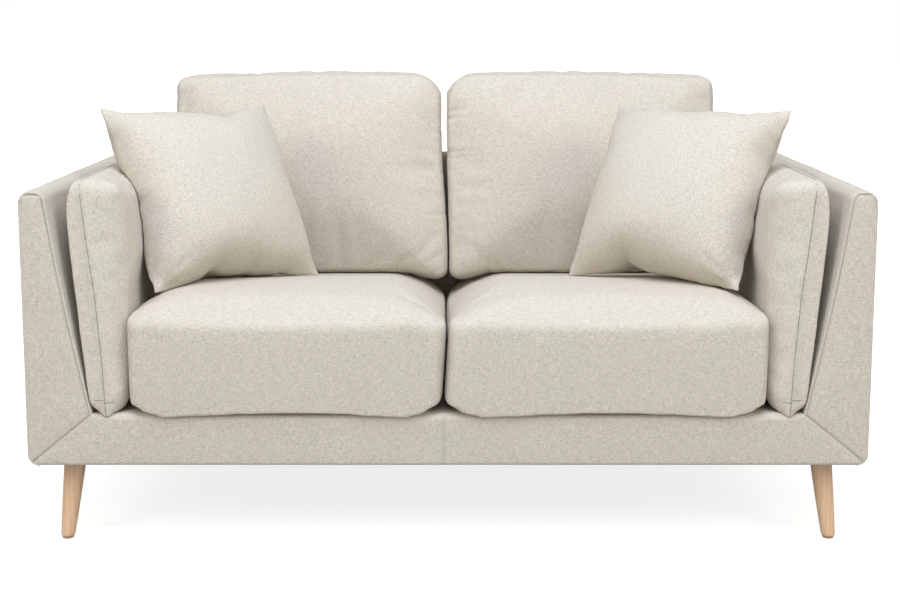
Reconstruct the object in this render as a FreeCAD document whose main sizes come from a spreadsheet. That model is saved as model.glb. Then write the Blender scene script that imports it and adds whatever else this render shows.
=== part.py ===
import FreeCAD, Part
import math
import os
import Sketcher

# Two-seat sofa with tapered wooden legs. Millimetres. +Z up, front towards -Y,
# origin on the floor at the centre of the overall box.

doc = FreeCAD.newDocument("sofa")
sheet = doc.addObject("Spreadsheet::Sheet", "Sizes")
V = FreeCAD.Vector

VALUES = [
    # overall
    ("half_depth", 450, "front face to the origin"),
    ("base_bottom", 160, "underside of the base"),
    ("rail_top", 262, "top of the covered front rail"),
    ("arm_top", 680, "top of the arms and of the back frame"),
    ("arm_out_low", 800, "outer face of an arm at base_bottom"),
    ("arm_out_high", 794, "outer face of an arm at arm_top"),
    ("arm_in_low", 674, "inner face of an arm at rail_top"),
    ("arm_in_high", 746, "inner face of an arm at arm_top"),
    ("back_in_low", 312, "front face of the back frame at rail_top"),
    ("back_in_high", 378, "front face of the back frame at arm_top"),
    ("edge_round", 15, "rounding of the top edges"),
    # fabric, padding
    ("cloth", 2, "upholstery fabric"),
    ("panel", 3, "front panel with its backing"),
    ("slack", 0.3, "gap between neighbouring layers"),
    ("pad_deep", 12, "outer face to the inside of the padding"),
    # timber
    ("rail_thick", 25, "seat rail thickness"),
    ("rail_high", 245, "top of the seat rails"),
    ("rail_low", 162, "underside of the seat rails"),
    ("former", 18, "plywood former thickness"),
    ("top_rail_low", 642, "underside of the arm and back top rails"),
    ("board", 3, "hardboard thickness"),
    # seat
    ("seat_low", 264, "underside of a seat cushion"),
    ("seat_side", 602, "outer side of a seat cushion"),
    ("seat_gap", 1, "half the gap between two cushions"),
    ("seat_front_high", 455, "top of a seat cushion at its front"),
    ("seat_crown", 478, "highest line of a seat cushion"),
    ("seat_crown_at", 290, "crown line in front of the origin"),
    ("seat_back_high", 412, "top of a seat cushion at its back"),
    ("seat_back_at", 305, "back end of a seat cushion"),
    # back cushions
    ("rest_low_front", 435, "underside of a back cushion at its front"),
    ("rest_low_back", 413, "underside of a back cushion at its back"),
    ("rest_front_low", 135, "front face at the bottom"),
    ("rest_back_low", 333, "back face at the bottom"),
    ("rest_front_high", 215, "front face at the top"),
    ("rest_back_high", 396, "back face at the top"),
    ("rest_top", 872, "top of a back cushion"),
    # side cushions
    ("side_in", 604.5, "inner face of a side cushion"),
    ("side_low", 265, "underside of a side cushion"),
    ("side_top", 704, "top of a side cushion"),
    ("side_gap", 1.5, "side cushion to arm"),
    ("side_out_high", 713, "outer face at the top"),
    ("side_front", 440, "front end"),
    ("side_back", 300, "back end"),
    # throw pillows
    ("pillow_half", 196, "half width at the seam"),
    ("pillow_flat", 115, "half width of the full part"),
    ("pillow_puff", 65, "half thickness"),
    ("pillow_edge", 3, "half thickness at the seam"),
    ("pillow_x", 446, "centre"),
    ("pillow_y", 140, "centre, in front of the origin"),
    ("pillow_z", 655, "centre height"),
    ("pillow_yaw", 38, "turn about the vertical"),
    ("pillow_lean", 29, "lean back from the vertical"),
    # legs
    ("leg_top_x", 725, "leg centre at the top"),
    ("leg_top_y", 382, "leg centre at the top"),
    ("leg_foot_x", 743, "leg centre at the foot"),
    ("leg_foot_y", 400, "leg centre at the foot"),
    ("leg_top_radius", 21.5, "leg radius at the top"),
    ("leg_foot_radius", 12.5, "leg radius at the foot"),
    ("leg_high", 161.7, "top of the leg"),
    ("glide_thick", 5, "glide thickness"),
    ("glide_radius", 11, "glide radius"),
    ("bolt_radius", 3.8, "hanger bolt"),
    ("bore_radius", 4.2, "bore for the bolt"),
    ("nut_radius", 5.5, "tee nut barrel"),
    ("flange_radius", 11, "tee nut flange"),
    # springs
    ("wire_radius", 1.8, "spring wire"),
    ("spring_level", 249.5, "height of the springs"),
    ("spring_step", 25.25, "distance between two spring bars"),
    ("spring_bars", 33, "bars in one spring"),
    ("spring_half", 20, "half the straight part of a bar"),
    ("spring_space", 150, "distance between springs"),
]


class E:
    """A number with the sheet expression that gives it."""

    def __init__(self, text, value):
        self.t = text
        self.v = value

    def __add__(self, o):
        o = wrap(o)
        return E("(%s + %s)" % (self.t, o.t), self.v + o.v)

    def __sub__(self, o):
        o = wrap(o)
        return E("(%s - %s)" % (self.t, o.t), self.v - o.v)

    def __mul__(self, o):
        o = wrap(o)
        return E("(%s * %s)" % (self.t, o.t), self.v * o.v)

    def __truediv__(self, o):
        o = wrap(o)
        return E("(%s / %s)" % (self.t, o.t), self.v / o.v)

    def __neg__(self):
        return E("(0 - %s)" % self.t, -self.v)

    def __radd__(self, o):
        return wrap(o) + self

    def __rsub__(self, o):
        return wrap(o) - self

    def __rmul__(self, o):
        return wrap(o) * self


def wrap(o):
    return o if isinstance(o, E) else E(repr(float(o)), float(o))


S = {}
for row, (alias, value, note) in enumerate(VALUES, start=1):
    sheet.set("A%d" % row, alias)
    sheet.set("B%d" % row, repr(value))
    sheet.set("C%d" % row, note)
    sheet.setAlias("B%d" % row, alias)
    S[alias] = E("Sizes." + alias, float(value))
doc.recompute()

PARTS = []


def keep(obj, label):
    obj.Label = label
    PARTS.append(obj)
    return obj


def prism(name, plane, pts, lo, hi):
    """A closed outline on one of the body's own planes, padded from lo to hi."""
    lo, hi = wrap(lo), wrap(hi)
    body = doc.addObject("PartDesign::Body", name)
    sk = body.newObject("Sketcher::SketchObject", name + "_outline")
    for o in body.Origin.OriginFeatures:
        if o.Role == plane + "_Plane":
            sk.AttachmentSupport = [(o, "")]
    sk.MapMode = "FlatFace"
    start = -hi if plane == "XZ" else lo
    sk.AttachmentOffset = FreeCAD.Placement(V(0, 0, start.v), FreeCAD.Rotation())
    sk.setExpression("AttachmentOffset.Base.z", start.t)
    pts = [(wrap(a), wrap(b)) for a, b in pts]
    n = len(pts)
    for i in range(n):
        a, b = pts[i], pts[(i + 1) % n]
        sk.addGeometry(
            Part.LineSegment(V(a[0].v, a[1].v, 0), V(b[0].v, b[1].v, 0)), False
        )
    for i in range(n):
        sk.addConstraint(Sketcher.Constraint("Coincident", i, 2, (i + 1) % n, 1))
    for i in range(n):
        for kind, e in (("DistanceX", pts[i][0]), ("DistanceY", pts[i][1])):
            c = sk.addConstraint(Sketcher.Constraint(kind, -1, 1, i, 1, e.v))
            sk.setExpression("Constraints[%d]" % c, e.t)
    pad = body.newObject("PartDesign::Pad", name + "_pad")
    pad.Profile = (sk, [""])
    pad.Length = (hi - lo).v
    pad.setExpression("Length", (hi - lo).t)
    body.Tip = pad
    doc.recompute()
    return body


def edge_ends(e):
    return [v.Point for v in e.Vertexes]


def along(e, axis):
    p = edge_ends(e)
    if len(p) != 2 or e.Curve.TypeId != "Part::GeomLine":
        return False
    d = p[1] - p[0]
    n = d.Length
    return n > 1e-6 and abs(abs(d[axis]) / n - 1) < 1e-6


def rounded(body, pick, radius, tag):
    """Fillet the edges that pick says yes to."""
    radius = wrap(radius)
    tip = body.Tip
    names = []
    for i, e in enumerate(tip.Shape.Edges, start=1):
        if pick(e):
            names.append("Edge%d" % i)
    f = body.newObject("PartDesign::Fillet", "%s_%s" % (body.Name, tag))
    f.Base = (tip, names)
    f.Radius = radius.v
    f.setExpression("Radius", radius.t)
    body.Tip = f
    doc.recompute()
    return body


def near(p, axis, value, tol=0.05):
    return abs(p[axis] - value) < tol


def block(name, lo, hi):
    """An axis-aligned board."""
    o = doc.addObject("Part::Box", name)
    lo = [wrap(a) for a in lo]
    hi = [wrap(a) for a in hi]
    for prop, a, b in (
        ("Length", lo[0], hi[0]),
        ("Width", lo[1], hi[1]),
        ("Height", lo[2], hi[2]),
    ):
        setattr(o, prop, (b - a).v)
        o.setExpression(prop, (b - a).t)
    o.Placement = FreeCAD.Placement(V(lo[0].v, lo[1].v, lo[2].v), FreeCAD.Rotation())
    for axis, a in zip("xyz", lo):
        o.setExpression(".Placement.Base." + axis, a.t)
    return o


def cut(name, base, tool):
    o = doc.addObject("Part::Cut", name)
    o.Base, o.Tool = base, tool
    return o


def common(name, base, tool):
    o = doc.addObject("Part::Common", name)
    o.Base, o.Tool = base, tool
    return o


def fuse(name, shapes):
    o = doc.addObject("Part::MultiFuse", name)
    o.Shapes = shapes
    return o


def group(name, shapes):
    o = doc.addObject("Part::Compound", name)
    o.Links = shapes
    return o


def mirror_pts(pts, s):
    return [(a if s > 0 else -wrap(a), b) for a, b in pts]


def span(lo, hi, s):
    lo, hi = wrap(lo), wrap(hi)
    return (lo, hi) if s > 0 else (-hi, -lo)


D = S["half_depth"]
Z0, Z1, Z2 = S["base_bottom"], S["rail_top"], S["arm_top"]


def arm_out(z):
    """Outer face of the right arm at height z."""
    z = wrap(z)
    return S["arm_out_low"] + (z - Z0) * (S["arm_out_high"] - S["arm_out_low"]) / (Z2 - Z0)


def arm_in(z):
    """Inner face of the right arm at height z."""
    z = wrap(z)
    return S["arm_in_low"] + (z - Z1) * (S["arm_in_high"] - S["arm_in_low"]) / (Z2 - Z1)


def back_in(z):
    """Front face of the back frame at height z."""
    z = wrap(z)
    return S["back_in_low"] + (z - Z1) * (S["back_in_high"] - S["back_in_low"]) / (Z2 - Z1)


def arm_outline(t):
    """The arm's section, drawn in by t."""
    top = Z2 - t
    return [
        (arm_out(Z0) - t, Z0),
        (arm_out(top) - t, top),
        (arm_in(top) + t, top),
        (arm_in(Z0) + t, Z0),
    ]


def arm_hollow(t):
    """The inside of an arm layer, open below and below the seat deck."""
    top = Z2 - t
    return [
        (arm_out(Z0) - t, Z0 - 10),
        (arm_out(top) - t, top),
        (arm_in(top) + t, top),
        (arm_in(Z1) + t, Z1),
        (arm_in(Z1) - 60, Z1),
        (arm_in(Z1) - 60, Z0 - 10),
    ]


def top_along(axis, level):
    return lambda e: along(e, axis) and near(edge_ends(e)[0], 2, level.v)


CL, GAP, PD = S["cloth"], S["slack"], S["pad_deep"]

# ---------------------------------------------------------------- arms
for side, s in (("left", -1), ("right", 1)):
    # sleeve of fabric: outer face, top, inner face and back end
    outer = prism(side + "_sleeve", "XZ", mirror_pts(arm_outline(wrap(0)), s), -(D - S["panel"] - GAP), D)
    rounded(outer, top_along(1, Z2), S["edge_round"], "top")
    inner = prism(side + "_sleeve_hollow", "XZ", mirror_pts(arm_hollow(CL), s), -(D + 10), D - CL)
    rounded(inner, top_along(1, Z2 - CL), S["edge_round"] - CL, "top")
    keep(cut(side + "_arm_cover", outer, inner), side + "_arm_cover")

    # front panel, mitred against the front rail
    face = prism(
        side + "_panel",
        "XZ",
        mirror_pts(
            [
                (arm_out(Z0), Z0 + 0.5),
                (arm_out(Z2), Z2),
                (arm_in(Z2), Z2),
                (arm_in(Z1), Z1 + 0.5),
            ],
            s,
        ),
        -D,
        -(D - S["panel"]),
    )
    rounded(face, top_along(1, Z2), S["edge_round"], "top")
    keep(face, side + "_arm_fascia")

    # padding under the fabric
    t = CL + GAP
    foam = prism(side + "_foam", "XZ", mirror_pts(arm_outline(t), s), -(D - S["panel"] - GAP), D - t)
    rounded(foam, top_along(1, Z2 - t), S["edge_round"] - t, "top")
    void = prism(side + "_foam_hollow", "XZ", mirror_pts(arm_hollow(PD), s), -(D - S["panel"] - GAP - 10), D - PD)
    keep(cut(side + "_arm_padding", foam, void), side + "_arm_padding")

    # plywood formers at both ends
    t = PD + GAP
    low, top = S["rail_high"] + GAP, Z2 - PD - GAP
    pts = [
        (arm_out(low) - t, low),
        (arm_out(top) - t, top),
        (arm_in(top) + t, top),
        (arm_in(low) + t, low),
    ]
    front = -(D - S["panel"] - GAP - 10 - GAP)
    keep(prism(side + "_arm_front_former", "XZ", mirror_pts(pts, s), front, front + S["former"]), side + "_arm_front_former")
    back = D - PD - GAP - 1.3
    keep(prism(side + "_arm_rear_former", "XZ", mirror_pts(pts, s), back - S["former"], back), side + "_arm_rear_former")
    y0, y1 = front + S["former"] + GAP, back - S["former"] - GAP

    # top rail between the formers
    lo, hi = span(arm_in(top) + t + 1.5, arm_out(top) - t - 1.5, s)
    keep(block(side + "_arm_top_rail", (lo, y0, S["top_rail_low"]), (hi, y1, top)), side + "_arm_top_rail")

    # hardboard on both faces
    a, b = wrap(S["rail_low"] + 20), S["top_rail_low"] - GAP
    pts = [
        (arm_in(a) + t, a),
        (arm_in(b) + t, b),
        (arm_in(b) + t + S["board"], b),
        (arm_in(a) + t + S["board"], a),
    ]
    r1 = -(D - S["panel"] - GAP - 10 - GAP) + S["rail_thick"] + GAP
    keep(prism(side + "_arm_inner_board", "XZ", mirror_pts(pts, s), r1, -r1), side + "_arm_inner_board")
    a = S["rail_high"] + GAP
    pts = [
        (arm_out(a) - t, a),
        (arm_out(b) - t, b),
        (arm_out(b) - t - S["board"], b),
        (arm_out(a) - t - S["board"], a),
    ]
    keep(prism(side + "_arm_outer_board", "XZ", mirror_pts(pts, s), y0, y1), side + "_arm_outer_board")

# ---------------------------------------------------------------- base frame
F0 = -(D - S["panel"] - GAP - 10 - GAP)
F1 = F0 + S["rail_thick"]
B1 = -F0
B0 = B1 - S["rail_thick"]
SIDE1 = arm_out(S["rail_high"]) - PD - 1
SIDE0 = SIDE1 - S["rail_thick"]
keep(block("front_rail_board", (-(SIDE0 - GAP), F0, S["rail_low"]), (SIDE0 - GAP, F1, S["rail_high"])), "front_rail_board")
keep(block("rear_rail_board", (-(SIDE0 - GAP), B0, S["rail_low"]), (SIDE0 - GAP, B1, S["rail_high"])), "rear_rail_board")
for side, s in (("left", -1), ("right", 1)):
    lo, hi = span(SIDE0, SIDE1, s)
    keep(block(side + "_side_rail", (lo, F0, S["rail_low"]), (hi, B1, S["rail_high"])), side + "_side_rail")
keep(block("centre_rail", (-12.5, F1 + GAP, S["rail_low"]), (12.5, B0 - GAP, S["rail_high"] - 10)), "centre_rail")

# ---------------------------------------------------------------- legs and their fixings
CORNERS = [("front_left", -1, -1), ("front_right", 1, -1), ("rear_left", -1, 1), ("rear_right", 1, 1)]


def axis_cylinder(name, sx, sy, radius, start, length):
    """A cylinder on a leg's own axis, measured from the leg's top centre."""
    top = V(sx * S["leg_top_x"].v, sy * S["leg_top_y"].v, S["leg_high"].v)
    foot = V(sx * S["leg_foot_x"].v, sy * S["leg_foot_y"].v, S["glide_thick"].v)
    d = (top - foot).normalize()
    o = doc.addObject("Part::Cylinder", name)
    radius = wrap(radius)
    o.Radius = radius.v
    o.setExpression("Radius", radius.t)
    o.Height = length
    o.Placement = FreeCAD.Placement(top + d * start, FreeCAD.Rotation(V(0, 0, 1), d))
    return o


blocks, bolts, nuts, glides, holes = [], [], [], [], []
for name, sx, sy in CORNERS:
    body = doc.addObject("PartDesign::Body", name + "_taper")
    rings = []
    for tag, z, cx, cy, r in (
        ("foot", S["glide_thick"] + GAP, S["leg_foot_x"], S["leg_foot_y"], S["leg_foot_radius"]),
        ("top", S["leg_high"], S["leg_top_x"], S["leg_top_y"], S["leg_top_radius"]),
    ):
        sk = body.newObject("Sketcher::SketchObject", "%s_%s" % (name, tag))
        for o in body.Origin.OriginFeatures:
            if o.Role == "XY_Plane":
                sk.AttachmentSupport = [(o, "")]
        sk.MapMode = "FlatFace"
        sk.AttachmentOffset = FreeCAD.Placement(V(0, 0, z.v), FreeCAD.Rotation())
        sk.setExpression("AttachmentOffset.Base.z", z.t)
        ex = cx if sx > 0 else -cx
        ey = cy if sy > 0 else -cy
        sk.addGeometry(Part.Circle(V(ex.v, ey.v, 0), V(0, 0, 1), r.v), False)
        c = sk.addConstraint(Sketcher.Constraint("DistanceX", -1, 1, 0, 3, ex.v))
        sk.setExpression("Constraints[%d]" % c, ex.t)
        c = sk.addConstraint(Sketcher.Constraint("DistanceY", -1, 1, 0, 3, ey.v))
        sk.setExpression("Constraints[%d]" % c, ey.t)
        c = sk.addConstraint(Sketcher.Constraint("Radius", 0, r.v))
        sk.setExpression("Constraints[%d]" % c, r.t)
        rings.append(sk)
    loft = body.newObject("PartDesign::AdditiveLoft", name + "_loft")
    loft.Profile = (rings[0], [""])
    loft.Sections = [(rings[1], [""])]
    loft.Ruled = True
    body.Tip = loft
    doc.recompute()
    bore = axis_cylinder(name + "_leg_bore", sx, sy, S["bore_radius"], -42, 60)
    keep(cut(name + "_leg", body, bore), name + "_leg")

    # corner block, bored for the bolt and the tee nut
    lo, hi = span(SIDE0 - GAP - 72, SIDE0 - GAP, sx)
    ylo, yhi = span(B0 - GAP - 68, B0 - GAP, sy)
    board = block(name + "_block", (lo, ylo, S["rail_low"]), (hi, yhi, S["rail_low"] + 45))
    bore = axis_cylinder(name + "_block_bore", sx, sy, S["nut_radius"] + 0.4, -10, 80)
    sink = axis_cylinder(name + "_block_sink", sx, sy, S["flange_radius"] + 0.5, 38, 30)
    blocks.append(cut(name + "_block_bored", board, fuse(name + "_block_tool", [bore, sink])))

    bolts.append(axis_cylinder(name + "_bolt", sx, sy, S["bolt_radius"], -40, 79))
    barrel = axis_cylinder(name + "_barrel", sx, sy, S["nut_radius"], 24, 14.5)
    flange = axis_cylinder(name + "_flange", sx, sy, S["flange_radius"], 38.2, 1.8)
    hole = axis_cylinder(name + "_nut_bore", sx, sy, S["bore_radius"], 10, 60)
    nuts.append(cut(name + "_nut", fuse(name + "_nut_body", [barrel, flange]), hole))

    g = doc.addObject("Part::Cylinder", name + "_glide")
    g.setExpression("Radius", "Sizes.glide_radius")
    g.setExpression("Height", "Sizes.glide_thick")
    ex = S["leg_foot_x"] if sx > 0 else -S["leg_foot_x"]
    ey = S["leg_foot_y"] if sy > 0 else -S["leg_foot_y"]
    g.setExpression(".Placement.Base.x", ex.t)
    g.setExpression(".Placement.Base.y", ey.t)
    glides.append(g)

    hole = doc.addObject("Part::Cylinder", name + "_cloth_hole")
    hole.Radius = 26
    hole.Height = 20
    ex = S["leg_top_x"] if sx > 0 else -S["leg_top_x"]
    ey = S["leg_top_y"] if sy > 0 else -S["leg_top_y"]
    hole.setExpression(".Placement.Base.x", ex.t)
    hole.setExpression(".Placement.Base.y", ey.t)
    hole.setExpression(".Placement.Base.z", (Z0 - 10).t)
    holes.append(hole)

keep(group("corner_blocks", blocks), "corner_blocks")
keep(group("leg_bolts", bolts), "leg_bolts")
keep(group("tee_nuts", nuts), "tee_nuts")
keep(group("leg_glides", glides), "leg_glides")
sheet_board = block("dust_cloth", (-(arm_out(Z0) - 12), -(D - 14), Z0 - 1.1), (arm_out(Z0) - 12, D - 14, Z0 - 0.1))
keep(cut("dust_cover", sheet_board, fuse("dust_holes", holes)), "dust_cover")

# ---------------------------------------------------------------- back frame
END = arm_in(Z1) - 32


def back_outline(t):
    top = Z2 - t
    return [
        (D - t, Z0),
        (D - t, top),
        (back_in(top) + t, top),
        (back_in(Z0) + t, Z0),
    ]


def back_hollow(t):
    top = Z2 - t
    return [
        (D - t, Z0 - 10),
        (D - t, top),
        (back_in(top) + t, top),
        (back_in(Z1) + t, Z1),
        (back_in(Z1) - 60, Z1),
        (back_in(Z1) - 60, Z0 - 10),
    ]


def between_arms(name, gap):
    """The wedge of space between the two arms."""
    gap = wrap(gap)
    hi, lo = Z2 + 20, Z0 - 20
    return prism(
        name,
        "XZ",
        [
            (-(arm_in(lo) - gap), lo),
            (arm_in(lo) - gap, lo),
            (arm_in(hi) - gap, hi),
            (-(arm_in(hi) - gap), hi),
        ],
        0,
        D + 20,
    )


WIDE = arm_in(Z2) + 20
outer = prism("back_sleeve", "YZ", back_outline(wrap(0)), -WIDE, WIDE)
rounded(outer, top_along(0, Z2), S["edge_round"], "top")
inner = prism("back_sleeve_hollow", "YZ", back_hollow(CL), -WIDE - 10, WIDE + 10)
rounded(inner, top_along(0, Z2 - CL), S["edge_round"] - CL, "top")
keep(common("back_cover", cut("back_sleeve_open", outer, inner), between_arms("back_cover_limit", 0.5)), "back_cover")

t = CL + GAP
outer = prism("back_foam", "YZ", back_outline(t), -WIDE, WIDE)
rounded(outer, top_along(0, Z2 - t), S["edge_round"] - t, "top")
inner = prism("back_foam_hollow", "YZ", back_hollow(PD), -WIDE - 10, WIDE + 10)
keep(common("back_padding", cut("back_foam_open", outer, inner), between_arms("back_padding_limit", 1.5)), "back_padding")

low, top = S["rail_high"] + GAP, S["top_rail_low"] - GAP
rear = D - PD - GAP
for name, mid in (("left", -(END - 9)), ("centre", wrap(0)), ("right", END - 9)):
    pts = [
        (rear, low),
        (rear, top),
        (back_in(top) + PD + 3, top),
        (back_in(low) + PD + 3, low),
    ]
    keep(prism("back_%s_former" % name, "YZ", pts, mid - S["former"] / 2, mid + S["former"] / 2), "back_%s_former" % name)
keep(block("back_top_rail", (-(arm_in(S["top_rail_low"]) - 8), back_in(Z2 - PD) + PD + 1.5, S["top_rail_low"]), (arm_in(S["top_rail_low"]) - 8, rear, Z2 - PD - GAP)), "back_top_rail")

belts = []
for k, z in enumerate((330, 410, 490, 570)):
    lo, hi = wrap(z - 25), wrap(z + 25)
    pts = [
        (back_in(lo) + PD + 0.4, lo),
        (back_in(lo) + PD + 2.4, lo),
        (back_in(hi) + PD + 2.4, hi),
        (back_in(hi) + PD + 0.4, hi),
    ]
    belts.append(prism("belt_%d" % k, "YZ", pts, -END, END))
keep(group("back_webbing", belts), "back_webbing")

# ---------------------------------------------------------------- front rail and seat deck
RAIL_END = arm_in(Z1) - 12
face = prism(
    "rail_panel",
    "XZ",
    [
        (-arm_out(Z0), Z0),
        (arm_out(Z0), Z0),
        (arm_in(Z1), Z1),
        (-arm_in(Z1), Z1),
    ],
    -D,
    -(D - S["panel"]),
)
fold = block("rail_fold", (-RAIL_END, -(D - S["panel"]), Z1 - S["panel"]), (RAIL_END, -(D - 100), Z1))
keep(fuse("front_rail_cover", [face, fold]), "front_rail_cover")

p0 = -(D - S["panel"] - GAP)
FOAM_END = arm_in(Z0) + CL + GAP - 0.6
pts = [
    (p0, Z0 + 1),
    (p0 + 10, Z0 + 1),
    (p0 + 10, S["rail_high"] + GAP),
    (F1, S["rail_high"] + GAP),
    (F1, Z1 - S["panel"] - GAP),
    (p0, Z1 - S["panel"] - GAP),
]
keep(prism("front_rail_padding", "YZ", pts, -FOAM_END, FOAM_END), "front_rail_padding")

keep(block("seat_felt", (-END, F1 + 4, S["spring_level"] + S["wire_radius"] + GAP), (END, 300, Z1 - S["panel"] - GAP)), "seat_felt")
keep(block("deck_cloth", (-RAIL_END, -(D - 100) + GAP, Z1 - S["panel"] + 0.2), (RAIL_END, S["back_in_low"] - 6, Z1 - 0.5)), "deck_cloth")


# ---------------------------------------------------------------- zigzag springs
def spring(x):
    level, step, half = S["spring_level"].v, S["spring_step"].v, S["spring_half"].v
    bars = int(S["spring_bars"].v)
    y0 = -step * (bars - 1) / 2
    edges = []
    for k in range(bars):
        y = y0 + k * step
        sign = 1 if k % 2 == 0 else -1
        a, b = V(x - sign * half, y, level), V(x + sign * half, y, level)
        edges.append(Part.LineSegment(a, b).toShape())
        if k < bars - 1:
            m = V(x + sign * (half + step / 2), y + step / 2, level)
            c = V(x + sign * half, y + step, level)
            edges.append(Part.Arc(b, m, c).toShape())
    path = Part.Wire(edges)
    start = V(x - half, y0, level)
    ring = Part.Wire([Part.makeCircle(S["wire_radius"].v, start, V(1, 0, 0))])
    return path.makePipeShell([ring], True, False)


xs = [(k - 3.5) * S["spring_space"].v for k in range(8)]
one = spring(0)
wires = doc.addObject("Part::Feature", "seat_springs")
wires.Shape = Part.makeCompound([one.translated(V(x, 0, 0)) for x in xs])
keep(wires, "seat_springs")

clips = []
reach = S["spring_step"].v * (S["spring_bars"].v - 1) / 2
for x in xs:
    for sy in (-1, 1):
        ya, yb = sorted((sy * (B0.v - 0.3), sy * (reach - 4)))
        plate = Part.makeBox(20, yb - ya, 14, V(x - 10, ya, S["spring_level"].v - 12.5))
        bar = Part.makeCylinder(S["wire_radius"].v + 0.4, 60, V(x - 30, sy * reach, S["spring_level"].v), V(1, 0, 0))
        clips.append(plate.cut(bar))
clipset = doc.addObject("Part::Feature", "spring_clips")
clipset.Shape = Part.makeCompound(clips)
keep(clipset, "spring_clips")


# ---------------------------------------------------------------- loose cushions
def end_loops(lo, hi, axis):
    def pick(e):
        return all(near(p, axis, lo) for p in edge_ends(e)) or all(
            near(p, axis, hi) for p in edge_ends(e)
        )

    return pick


def hull_yz(name, pts, lo, hi, radii, side_radius):
    """A cushion with its section in the YZ plane. radii: corner index -> radius."""
    body = prism(name, "YZ", pts, lo, hi)
    for i, r in radii.items():
        a, b = wrap(pts[i][0]).v, wrap(pts[i][1]).v
        rounded(
            body,
            lambda e: along(e, 0) and near(edge_ends(e)[0], 1, a) and near(edge_ends(e)[0], 2, b),
            r,
            "corner%d" % i,
        )
    return rounded(body, end_loops(wrap(lo).v, wrap(hi).v, 0), side_radius, "sides")


def seat_solid(name, s, t):
    top = lambda z: z - t
    pts = [
        (-(D - 3 - t), S["seat_low"] + t),
        (-(D - 3 - t), top(S["seat_front_high"])),
        (-S["seat_crown_at"], top(S["seat_crown"])),
        (S["seat_back_at"] - t, top(S["seat_back_high"])),
        (S["seat_back_at"] - t, S["seat_low"] + t),
    ]
    lo, hi = span(S["seat_gap"] + t, S["seat_side"] - t, s)
    return hull_yz(name, pts, lo, hi, {0: 24 - t, 1: 46 - t, 3: 22 - t, 4: 22 - t}, 16 - t)


def rest_solid(name, s, t):
    pts = [
        (S["rest_front_low"] + t, S["rest_low_front"] + t),
        (S["rest_back_low"] - t, S["rest_low_back"] + t),
        (S["rest_back_high"] - t, S["rest_top"] - t),
        (S["rest_front_high"] + t, S["rest_top"] - t),
    ]
    lo, hi = span(S["seat_gap"] + t, S["seat_side"] - t, s)
    return hull_yz(name, pts, lo, hi, {0: 26 - t, 1: 22 - t, 2: 36 - t, 3: 40 - t}, 20 - t)


def side_solid(name, s, t):
    low, top = S["side_low"], S["side_top"]
    pts = mirror_pts(
        [
            (S["side_in"] + t, low + t),
            (arm_in(low) - S["side_gap"] - t, low + t),
            (S["side_out_high"] - t, top - t),
            (S["side_in"] + t, top - t),
        ],
        s,
    )
    y0, y1 = -(S["side_front"] - t), S["side_back"] - t
    body = prism(name, "XZ", pts, y0, y1)
    for i, r in ((0, 18 - t), (1, 24 - t), (2, 26 - t), (3, 58 - t)):
        a, b = wrap(pts[i][0]).v, wrap(pts[i][1]).v
        rounded(
            body,
            lambda e: along(e, 1) and near(edge_ends(e)[0], 0, a) and near(edge_ends(e)[0], 2, b),
            r,
            "corner%d" % i,
        )
    return rounded(body, end_loops(y0.v, y1.v, 1), 16 - t, "ends")


for side, s in (("left", -1), ("right", 1)):
    for kind, make in (("seat", seat_solid), ("back", rest_solid), ("side", side_solid)):
        stem = "%s_%s_cushion" % (side, kind)
        outer = make(stem + "_outside", s, wrap(0))
        inner = make(stem + "_inside", s, CL)
        keep(cut(stem + "_cover", outer, inner), stem + "_cover")
        keep(make(stem + "_core", s, CL + 0.5), stem + "_core")


# ---------------------------------------------------------------- throw pillows
def pillow_solid(name, levels):
    """Four stacked squares about the pillow's own middle plane, lofted."""
    body = doc.addObject("PartDesign::Body", name)
    rings = []
    for k, (z, half) in enumerate(levels):
        z, half = wrap(z), wrap(half)
        sk = body.newObject("Sketcher::SketchObject", "%s_ring%d" % (name, k))
        for o in body.Origin.OriginFeatures:
            if o.Role == "XY_Plane":
                sk.AttachmentSupport = [(o, "")]
        sk.MapMode = "FlatFace"
        sk.AttachmentOffset = FreeCAD.Placement(V(0, 0, z.v), FreeCAD.Rotation())
        sk.setExpression("AttachmentOffset.Base.z", z.t)
        corner = [(-half, -half), (half, -half), (half, half), (-half, half)]
        for i in range(4):
            a, b = corner[i], corner[(i + 1) % 4]
            sk.addGeometry(Part.LineSegment(V(a[0].v, a[1].v, 0), V(b[0].v, b[1].v, 0)), False)
        for i in range(4):
            sk.addConstraint(Sketcher.Constraint("Coincident", i, 2, (i + 1) % 4, 1))
        for i in range(4):
            for what, e in (("DistanceX", corner[i][0]), ("DistanceY", corner[i][1])):
                c = sk.addConstraint(Sketcher.Constraint(what, -1, 1, i, 1, e.v))
                sk.setExpression("Constraints[%d]" % c, e.t)
        rings.append(sk)
    loft = body.newObject("PartDesign::AdditiveLoft", name + "_loft")
    loft.Profile = (rings[0], [""])
    loft.Sections = [(r, [""]) for r in rings[1:]]
    loft.Ruled = True
    body.Tip = loft
    doc.recompute()
    return body


def levels(puff, flat, edge, half):
    return [(-puff, flat), (-edge, half), (edge, half), (puff, flat)]


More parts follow.
